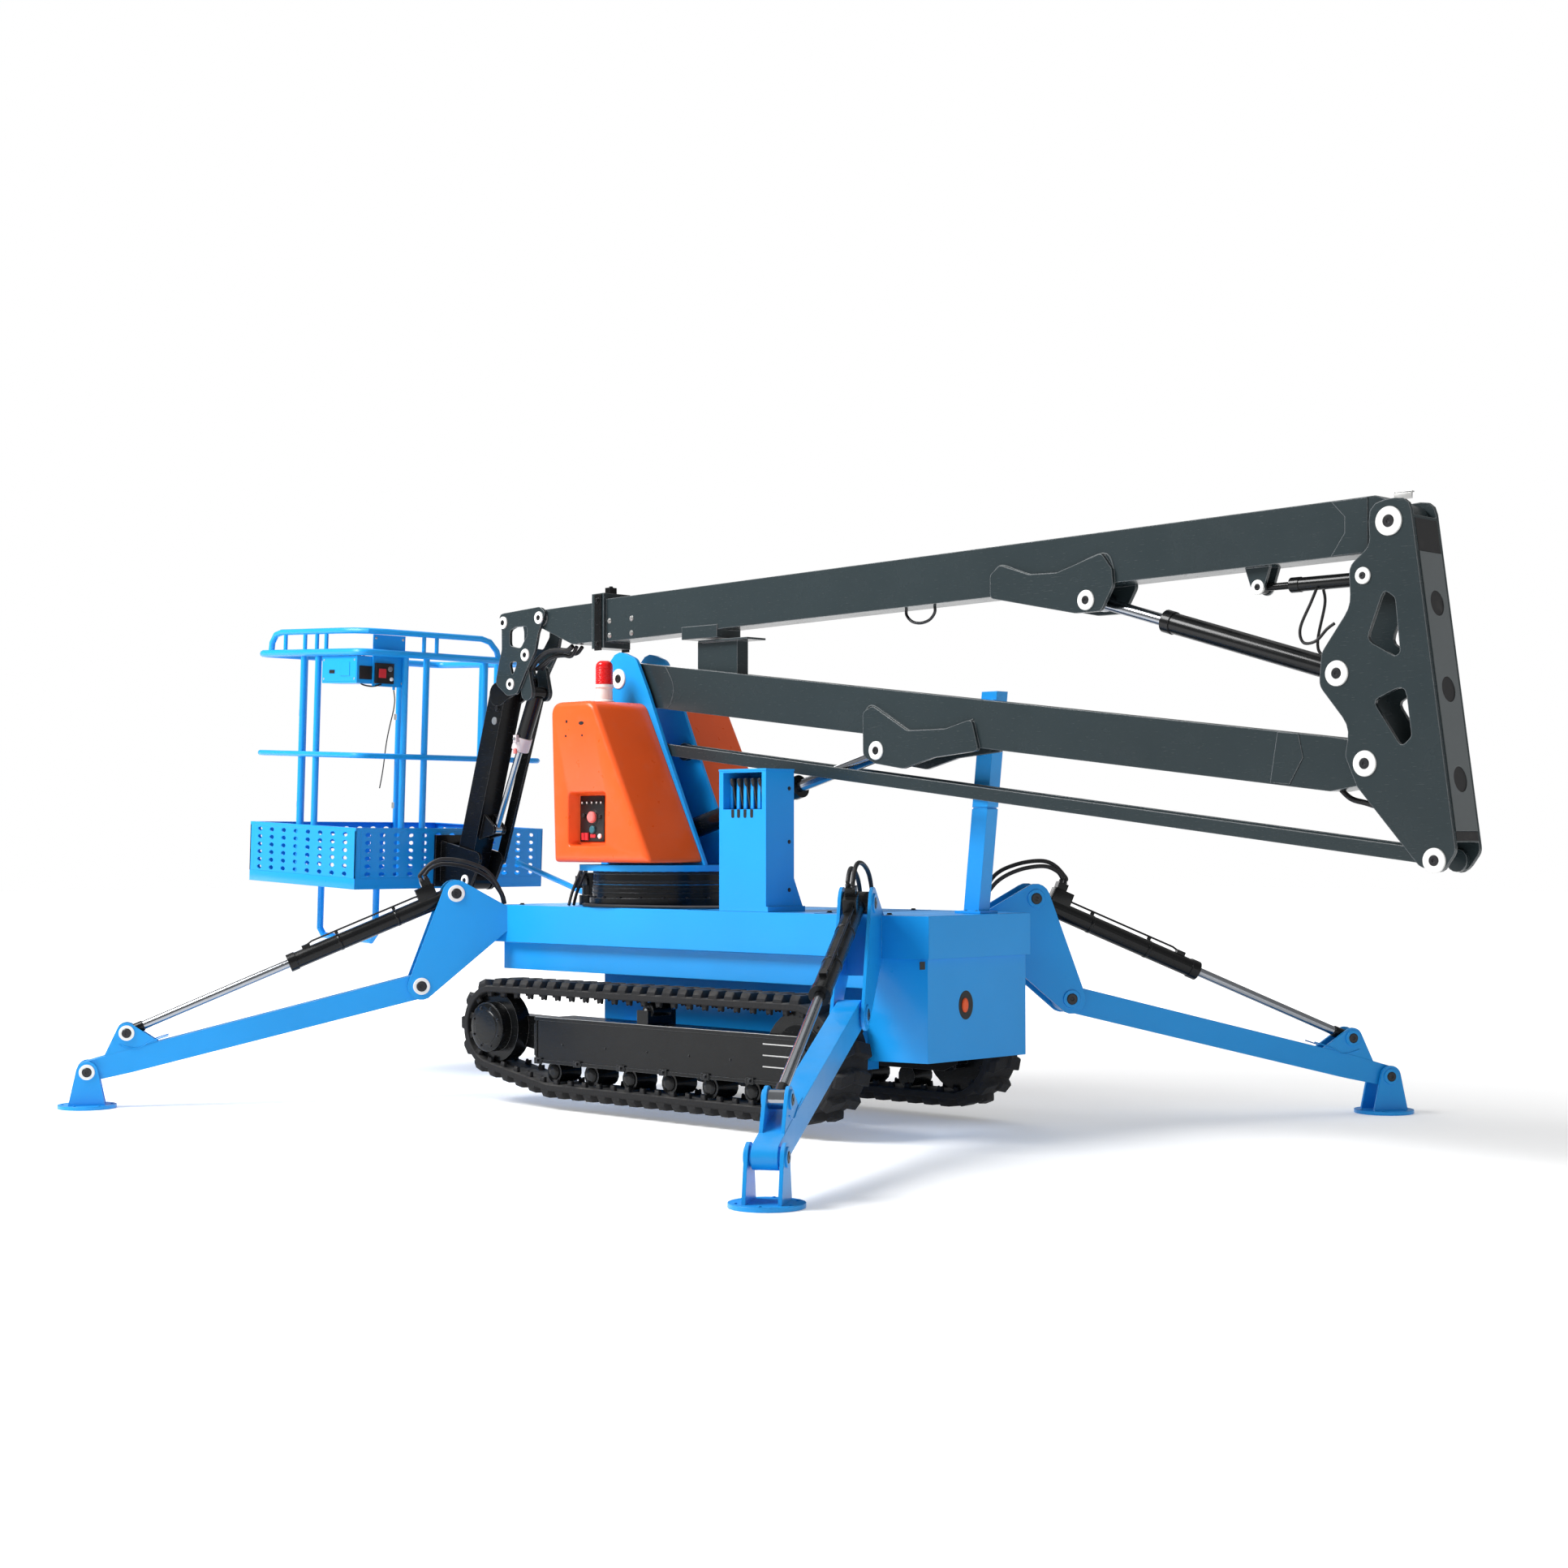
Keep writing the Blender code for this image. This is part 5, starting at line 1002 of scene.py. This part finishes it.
def beacon():
    """White foot and ribbed red lens with a domed cap."""
    x, y = -0.47, -0.2
    foot, lens = Shape(), Shape()
    foot.turned([(0.0405, 0.0), (0.0405, 0.008), (0.034, 0.012), (0.034, 0.058), (0.0385, 0.062),
                 (0.0385, 0.0745)],
                (x, y, 1.6223), UP, 40)
    profile = [(0.03, 0.0)]
    for i in range(9):
        z = 0.002 + i * 0.0078
        profile += [(0.0345, z), (0.036, z + 0.002), (0.036, z + 0.0046), (0.0345, z + 0.0066)]
    profile += [(0.035, 0.075), (0.033, 0.084), (0.027, 0.0925), (0.019, 0.0968), (0.008, 0.0976)]
    lens.turned(profile, (x, y, 1.696), UP, 40)
    piece("beacon_lens", lens, "turret", RED, ("beacon",))
    piece("beacon_foot", foot, "turret", WHITE)


# Slew ring and turret

def slew():
    dark, grey, hose, bands, upper = [Shape() for _ in range(5)]
    for shape, radius, z, count in ((grey, 0.282, 0.9443, 24), (dark, 0.3, 0.8345, 20)):
        for x, y in circle_bolts((SLEW_X, 0.0), radius, count, 0.5):
            shape.hex_head((x, y, z), UP, 0.0065, 0.006)
    # seals below, and the turret's own wide band with two narrow seals
    for z in (0.852, 0.87):
        bands.collar(0.2955, 0.2985, 0.002, 0.008, (SLEW_X, 0, z), UP, 72)
    upper.turned([(0.2915, 0.0), (0.2942, 0.002), (0.2942, 0.05), (0.2915, 0.053)],
                 (SLEW_X, 0, 0.8895), UP, 96, closed=True)
    for z in (0.9, 0.93):
        upper.collar(0.2935, 0.2962, 0.001, 0.005, (SLEW_X, 0, z), UP, 96)
    # slew motor: flange bolts, port block and two hoses
    for x, y in circle_bolts((-0.6805, -0.075), 0.048, 4, 0.5):
        dark.hex_head((x, y, 0.811), UP, 0.006, 0.006)
    dark.block((-0.7, -0.122, 0.88), (-0.662, -0.112, 0.912), 0.003)
    x = -0.735
    for y in (-0.088, -0.062):
        hose.pipe(smooth([(x, y, 0.917), (x - 0.002, y, 0.938), (x + 0.03, y - 0.03, 0.9435),
                          (x + 0.075, y - 0.09, 0.905), (x + 0.1, y - 0.14, 0.85),
                          (x + 0.11, y - 0.165, 0.802)], 6), 0.0065)
    # deck hoses that run along the ring's foot to the console
    for i, offset in enumerate((0.0, 0.017)):
        hose.pipe(smooth([(-0.596 + i * 0.03, -0.19 - offset, 0.806), (-0.42, -0.318 - offset, 0.807),
                          (-0.15, -0.322 - offset * 0.5, 0.807), (0.09, -0.262 - offset, 0.807),
                          (0.336, -0.24 - offset, 0.812)], 8), 0.0065)
    piece("slew_ring_bolts", dark, "chassis", DARK_STEEL)
    piece("turret_ring_bolts", grey, "turret", DARK_STEEL)
    piece("slew_ring_seals", bands, "chassis", BLACK)
    piece("turret_ring_seals", upper, "turret", BLACK)
    piece("slew_hoses", hose, "chassis", HOSE)


# Weld beads, plates and small parts of the booms

def bead(shape, points, depth, size):
    """A thin rounded weld along a smooth curve of (x, z), on both faces at a depth."""
    line = smooth([(x, 0.0, z) for x, z in points], 6)
    for side in BOTH:
        shape.pipe([(point.x, side * depth, point.z) for point in line], size, 6)


def eye_welds(name, eye, offsets):
    """The bead along a boom's eye plate, given by offsets from the eye's pin."""
    beads = Shape()
    bead(beads, [(eye[0] + x, eye[1] + z) for x, z in offsets], 0.0605, 0.0028)
    piece(name + "_welds", beads, name, GREY_BEAD)


def boom_plates():
    eye_welds("upper_boom", (1.867, 1.89), ((0.109, 0.099), (0.064, 0.157), (-0.126, 0.104), (-0.249, 0.107),
                                             (-0.379, 0.15), (-0.424, 0.118)))
    eye_welds("lower_boom", (0.899, 1.398), ((-0.068, 0.145), (-0.019, 0.166), (0.151, 0.069), (0.333, 0.07),
                                             (0.456, 0.101)))
    upper, lower, bar, bolts, steel, eye_ring, guide, seam = [Shape() for _ in range(8)]
    face = 0.0595
    for side in BOTH:
        out = (0, side, 0)
        # doubler plates at the elbow ends
        upper.plate([(2.824, 2.1375), (2.873, 2.085), (2.873, 2.035), (2.823, 1.964), (2.955, 1.9665),
                     (2.955, 2.1405)], side * face, side * 0.0035)
        lower.plate([(2.594, 1.252), (2.622, 1.415), (2.7, 1.407), (2.717, 1.33), (2.666, 1.245)],
                    side * face, side * 0.003)
        # collar over the telescope, and the guide pad's bolts on the boom
        bar.block((-0.668, side * 0.073, 1.852), (-0.628, side * 0.081, 2.086))
        for z in (2.06, 1.88):
            bolts.hex_head((-0.648, side * 0.081, z), out, 0.0085, 0.007)
        for x, z in ((-0.596, 1.973), (-0.461, 1.975), (-0.595, 1.913), (-0.461, 1.915)):
            steel.hex_head((x, side * 0.06, z), out, 0.008, 0.005)
    bead(lower, [(-0.257, 1.766), (-0.222, 1.715), (-0.209, 1.671), (-0.225, 1.62), (-0.245, 1.597)],
         0.06, 0.0022)
    bar.block((-0.668, -0.02, 2.088), (-0.64, 0.02, 2.118))
    bolts.hex_head((-0.654, 0.0, 2.1175), UP, 0.008, 0.006)
    # ring eye under the upper boom, hose at the lower boom's elbow, telescope's seam near its nose
    eye_ring.pipe(smooth([(0.984, 0.0, 1.925), (0.984, 0.0, 1.9), (1.01, 0.0, 1.875), (1.051, 0.0, 1.866),
                          (1.095, 0.0, 1.875), (1.121, 0.0, 1.9), (1.121, 0.0, 1.925)], 6), 0.0055, 12)
    guide.pipe(smooth([(2.8, 0.0, 1.245), (2.85, 0.0, 1.2), (2.905, 0.0, 1.184), (2.966, 0.0, 1.17),
                       (2.95, 0.0, 1.205)], 6), 0.009, 12)
    bead(seam, [(-0.792, 1.895), (-0.83, 1.937), (-0.79, 1.996), (-0.752, 2.032)], 0.0509, 0.0014)
    for name, shape, body, finish in (
            ("upper_boom_doublers", upper, "upper_boom", GREY),
            ("lower_boom_doublers", lower, "lower_boom", GREY),
            ("collar_bars", bar, "upper_boom", BLACK),
            ("collar_bolts", bolts, "upper_boom", DARK_STEEL),
            ("guide_pad_bolts", steel, "upper_boom", STEEL),
            ("upper_boom_hose_eye", eye_ring, "upper_boom", DARK_STEEL),
            ("lower_boom_hose", guide, "lower_boom", HOSE),
            ("telescope_seams", seam, "telescope", BLACK)):
        piece(name, shape, body, finish)


WEB_TOP, WEB_FOOT, WEB_HALF = Vector((3.12, 0, 2.07)), Vector((3.258, 0, 1.06)), 0.0665


def yoke_web():
    """Web plate of lighter grey with three round holes and painted shade behind them, the bracket on top,
    and the level hoses.
    """
    ahead = (WEB_FOOT - WEB_TOP).normalized()
    slope = Matrix(((-ahead.z, 0, ahead.x, 0), (0, 1, 0, 0), (ahead.x, 0, ahead.z, 0), (0, 0, 0, 1)))
    place = MACHINE @ Matrix.Translation(WEB_TOP) @ slope
    plate, dark_sheets, steel = Shape(place), Shape(place), Shape()
    reaches = (0.275, 0.545, 0.825)

    def strip(start, end):
        return [(-WEB_HALF, start), (WEB_HALF, start), (WEB_HALF, end), (-WEB_HALF, end)]

    holes = [circle((0.0, reach), 0.04, 32) for reach in reaches]
    plate.plate(strip(0.115, 0.985), 0.0004, 0.0024, "x", holes)
    # dark sheets: discs behind the holes are painted shade seen through them, and strips darken the web's
    # two ends
    for outline in (*[circle((0.0, reach), 0.042, 32) for reach in reaches], strip(0.01, 0.113),
                    strip(0.987, 1.015)):
        dark_sheets.plate(outline, 0.0002, 0.0006, "x")
    piece("yoke_web_plate", plate, "elbow_yoke", WEB_GREY)
    piece("yoke_web_dark_sheets", dark_sheets, "elbow_yoke", PANEL)
    steel.block((3.06, -0.0825, 2.118), (3.122, -0.0785, 2.1415), 0.001)
    steel.block((3.06, -0.0825, 2.1385), (3.122, -0.069, 2.142), 0.001)
    steel.block((3.1, -0.079, 2.12), (3.108, -0.07, 2.14), 0.001)
    piece("yoke_top_bracket", steel, "elbow_yoke", STEEL)
    for i, (y, drop) in enumerate(((-0.052, 0.0), (0.052, 0.03))):
        made = loose_hose(f"level_hose_{i + 1}", [
            (2.744, y * 0.4, 1.87), (2.736, y * 0.8, 1.825), (2.703, y, 1.745 - drop),
            (2.714, y, 1.698 - drop), (2.76, y, 1.7 - drop), (2.8, y, 1.735), (2.828, y, 1.752)], 0.005)
        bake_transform(made)


# Jib's fittings

def jib_fittings():
    dark, grey, clamp, steel, pink = [Shape() for _ in range(5)]
    out = (0, -1, 0)
    dark.hex_head((-1.333, -0.05, 1.64), out, 0.012, 0.008)
    grey.turned([(0.017, 0.0), (0.017, 0.004), (0.012, 0.006)], (-1.352, -0.05, 1.585), out, 24)
    root, end = Vector((-1.13, 0, 1.7)), Vector((-1.4, 0, 1.113))
    way = (end - root).normalized()
    clamp.collar(0.0335, 0.0385, 0.002, 0.064, root + way * 0.205, way, 36)
    clamp.block((-1.228, -0.052, 1.488), (-1.206, -0.034, 1.52), 0.003)
    pink.block((-1.238, -0.0415, 1.44), (-1.222, -0.03, 1.462))
    steel.hex_head((-1.217, -0.052, 1.504), out, 0.0055, 0.005)
    for name, shape, body, finish in (
            ("jib_bolts", dark, "jib", DARK_STEEL), ("jib_plugs", grey, "jib", GREY_CAP),
            ("jib_cylinder_band", clamp, "jib_barrel", CLAMP),
            ("jib_cylinder_tag", pink, "jib_barrel", PINK_KNOB),
            ("jib_cylinder_screw", steel, "jib_barrel", STEEL)):
        piece(name, shape, body, finish)
    hoses = ((-0.036, 0.0, 0.0105), (-0.012, 0.022, 0.0085), (0.018, 0.01, 0.0085))
    for i, (y, drop, radius) in enumerate(hoses):
        made = loose_hose(f"head_hose_{i + 1}", [
            (-1.12, y, 1.8), (-1.08, y, 1.84 - drop), (-1.017, y, 1.868 - drop),
            (-0.94, y, 1.872 - drop), (-0.89, y, 1.868 - drop), (-0.855, y, 1.884)], radius)
        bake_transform(made)


# Outriggers: rod eyes, port blocks, pipes and hoses

CYLINDER_ROOT, CYLINDER_END = Vector((0, 0, 0.847)), Vector((1.308, 0, 0.297))


def outriggers():
    way = (CYLINDER_END - CYLINDER_ROOT).normalized()
    up = Vector((-way.z, 0, way.x))

    def spot(reach, height, across=0.0):
        return CYLINDER_ROOT + way * reach + up * height + Vector((0, across, 0))

    for name, place in LEG_FRAMES.items():
        paint, steel, eye, beads, bolts = [Shape(place) for _ in range(5)]
        # port blocks on the barrel, gland collar, transfer pipe with its clips
        paint.bar(spot(0.11, 0.048), way, up, (0.08, 0.05, 0.056))
        paint.bar(spot(0.096, 0.086), way, up, (0.04, 0.038, 0.03))
        paint.bar(spot(0.64, 0.036), way, up, (0.034, 0.026, 0.02))
        paint.collar(0.034, 0.0372, 0.003, 0.033, spot(0.694, 0), way, 36)
        steel.pipe([spot(0.14, 0.046, 0.012), spot(0.16, 0.05, 0.016), spot(0.61, 0.05, 0.016),
                    spot(0.632, 0.044, 0.012)], 0.004)
        for reach in (0.25, 0.5):
            paint.collar(0.0342, 0.0355, 0.002, 0.014, spot(reach, 0), way, 30)
            paint.bar(spot(reach + 0.007, 0.044, 0.016), way, up, (0.014, 0.014, 0.016))
        for across in PORTS:
            steel.turned([(0.0095, 0.0), (0.0095, 0.012), (0.007, 0.014), (0.007, 0.024)],
                         spot(0.096 + across, 0.098, across), up, 6)
        eye.turned([(0.0265, 0.0), (0.0285, 0.002), (0.0285, 0.052), (0.0265, 0.054)],
                   CYLINDER_END + Vector((0, -0.027, 0)), (0, 1, 0), 30)
        eye.turned([(0.018, 0.0), (0.0215, 0.003), (0.0215, 0.06)], CYLINDER_END - way * 0.072, way, 24)
        # weld bead over the foot pin's fork, and the bolts on the foot's plate
        bead(beads, [(1.145, 0.285), (1.215, 0.262), (1.262, 0.238), (1.3, 0.242), (1.335, 0.252)],
             0.0402, 0.0024)
        for x, y in circle_bolts((1.459, 0.0), 0.096, 6):
            bolts.hex_head((x, y, 0.0142), UP, 0.005, 0.003)
        piece(f"leg_{name}_rod_eye", eye, "leg_rod_" + name, BLACK)
        piece(f"leg_{name}_ports", paint, "leg_barrel_" + name, BARREL_BLACK)
        piece(f"leg_{name}_pipe", steel, "leg_barrel_" + name, DARK_STEEL)
        for i, across in enumerate(PORTS):
            lift = 0.02 * i
            made = loose_hose(f"leg_{name}_hose_{i + 1}", [
                (-0.205, across * 2.0, 0.802), (-0.19, across * 2.0, 0.85),
                (-0.135, across * 1.8, 0.915 + lift), (-0.05, across * 1.6, 0.955 + lift),
                (0.045, across * 1.3, 0.968 + lift), (0.1, across, 0.95 + lift),
                (0.132 + across, across, 0.925), spot(0.096 + across, 0.116, across)], 0.008, place)
            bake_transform(made)
        piece(f"leg_{name}_welds", beads, "leg_" + name, BLUE)
        piece(f"foot_{name}_bolts", bolts, "foot_" + name, BLUE)


# Deck and engine box

def deck():
    dark, knob, beads, trim, pad = [Shape() for _ in range(5)]
    # dark patches of painted shade for the main switch's round recess in the engine box's end, and for a
    # small notch under the deck's edge
    x, y, z = 1.322, -0.067, 0.477
    dark.plate(circle((y, z), 0.052, 40, 0.76), x - 0.0004, 0.001, "x")
    knob.plate(circle((y - 0.006, z), 0.026, 32, 0.66), x + 0.0004, 0.003, "x")
    knob.plate(circle((y - 0.006, z), 0.021, 32, 0.66), x + 0.003, 0.0016, "x")
    dark.block((1.3214, -0.318, 0.612), (1.3228, -0.29, 0.64), 0.0)
    for x, y in ((-0.9, -0.27), (-0.9, 0.27), (0.78, 0.27), (0.78, -0.2), (0.1, 0.27),
                 (1.12, 0.25), (1.12, -0.25)):
        dark.hex_head((x, y, 0.799), UP, 0.0085, 0.006)
    # seam strips over the deck, and weld beads between deck and skirt
    for x in (0.15, 0.82):
        trim.block((x - 0.002, -0.325, 0.7988), (x + 0.002, 0.325, 0.8002), 0.0)
    for side in BOTH:
        line = [(-0.96 + i * 0.04, side * (0.3055 + 0.0006 * (i % 2)), 0.6455) for i in range(51)]
        beads.pipe(line, 0.0035, 6)
    # rest post: its foot's bolts, and the pad that the saddle lands on
    near_y, far_y = 0.076, 0.1335
    pad.block((1.2385, near_y, 1.179), (1.303, far_y, 1.1856), 0.001)
    for y in (near_y, far_y):
        for x in (1.205, 1.255):
            dark.hex_head((x, y, 0.805), UP, 0.006, 0.005)
    for name, shape, finish in (("rest_pad", pad, BLUE), ("switch_knob", knob, ORANGE),
                                ("chassis_bolts", dark, PANEL), ("chassis_seams", trim, SEAM_BLUE),
                                ("skirt_weld", beads, BLUE)):
        piece(name, shape, "chassis", finish)


for build in (pins, tracks, track_gear, basket_tray, basket_fittings, console, covers, beacon, slew,
              boom_plates, yoke_web, jib_fittings, outriggers, deck):
    build()


# Studio: pale floor, soft light, white behind

def floor_finish():
    finish = Finish("studio_floor")
    slow = finish.noise(0.6, 3.0)
    finish.set("Base Color", finish.mix(slow, (0.82, 0.82, 0.82, 1.0), (0.86, 0.86, 0.86, 1.0)))
    finish.set("Roughness", 0.75 + slow * 0.1)
    distance = finish.add("ShaderNodeVectorMath", {"operation": "LENGTH"}, {0: finish.place}, "Value")
    far = distance.between(2.4, 8.0)
    finish.set("Emission Color", finish.mix(far, (0.3, 0.3, 0.3, 1.0), (1.0, 1.0, 1.0, 1.0)))
    finish.shader.inputs["Emission Strength"].default_value = 0.9
    finish.bump(finish.noise(60.0, 3.0), 0.0002)
    return finish.material


def studio():
    mesh = bpy.data.meshes.new("studio_floor")
    half = 40.0
    corners = [(-half, -half, 0), (half, -half, 0), (half, half, 0), (-half, half, 0)]
    mesh.from_pydata(corners, [], [(0, 1, 2, 3)])
    floor = bpy.data.objects.new("studio_floor", mesh)
    floor.location.z = -0.0005
    mesh.materials.append(floor_finish())
    bpy.context.scene.collection.objects.link(floor)
    for name, place, aim, size, watts in (      # sizes and places in metres
            ("key", (-3.6, -6.2, 7.8), (0.0, 0.0, 0.9), (5.0, 4.0), 1350.0),
            ("fill", (8.5, -1.0, 4.0), (0.4, 0.0, 0.9), (5.0, 5.0), 18.0),
            ("top", (-0.5, 1.0, 7.5), (-0.2, 0.0, 0.0), (8.0, 6.0), 70.0),
            ("rear", (-7.5, 4.5, 4.5), (-0.5, 0.0, 0.8), (4.0, 4.0), 120.0)):
        lamp = bpy.data.objects.new(name, bpy.data.lights.new(name, "AREA"))
        lamp.data.shape = "RECTANGLE"
        lamp.data.size, lamp.data.size_y = size
        lamp.data.energy = watts
        lamp.location = place
        lamp.rotation_euler = (Vector(aim) - Vector(place)).to_track_quat("-Z", "Y").to_euler()
        bpy.context.scene.collection.objects.link(lamp)


def white_surround():
    """White to the camera, dimmer as a light."""
    world = bpy.data.worlds.new("surround")
    bpy.context.scene.world = world
    world.use_nodes = True
    tree = world.node_tree
    tree.nodes.clear()
    output = tree.nodes.new("ShaderNodeOutputWorld")
    path = tree.nodes.new("ShaderNodeLightPath")
    mix = tree.nodes.new("ShaderNodeMixShader")
    tree.links.new(path.outputs["Is Camera Ray"], mix.inputs[0])
    for entry, strength in ((1, 0.32), (2, 1.0)):       # as a light, and to the camera
        shade = tree.nodes.new("ShaderNodeBackground")
        shade.inputs["Color"].default_value = (1.0, 1.0, 1.0, 1.0)
        shade.inputs["Strength"].default_value = strength
        tree.links.new(shade.outputs[0], mix.inputs[entry])
    tree.links.new(mix.outputs[0], output.inputs["Surface"])


studio()
white_surround()
bpy.context.scene.view_settings.view_transform = "Standard"
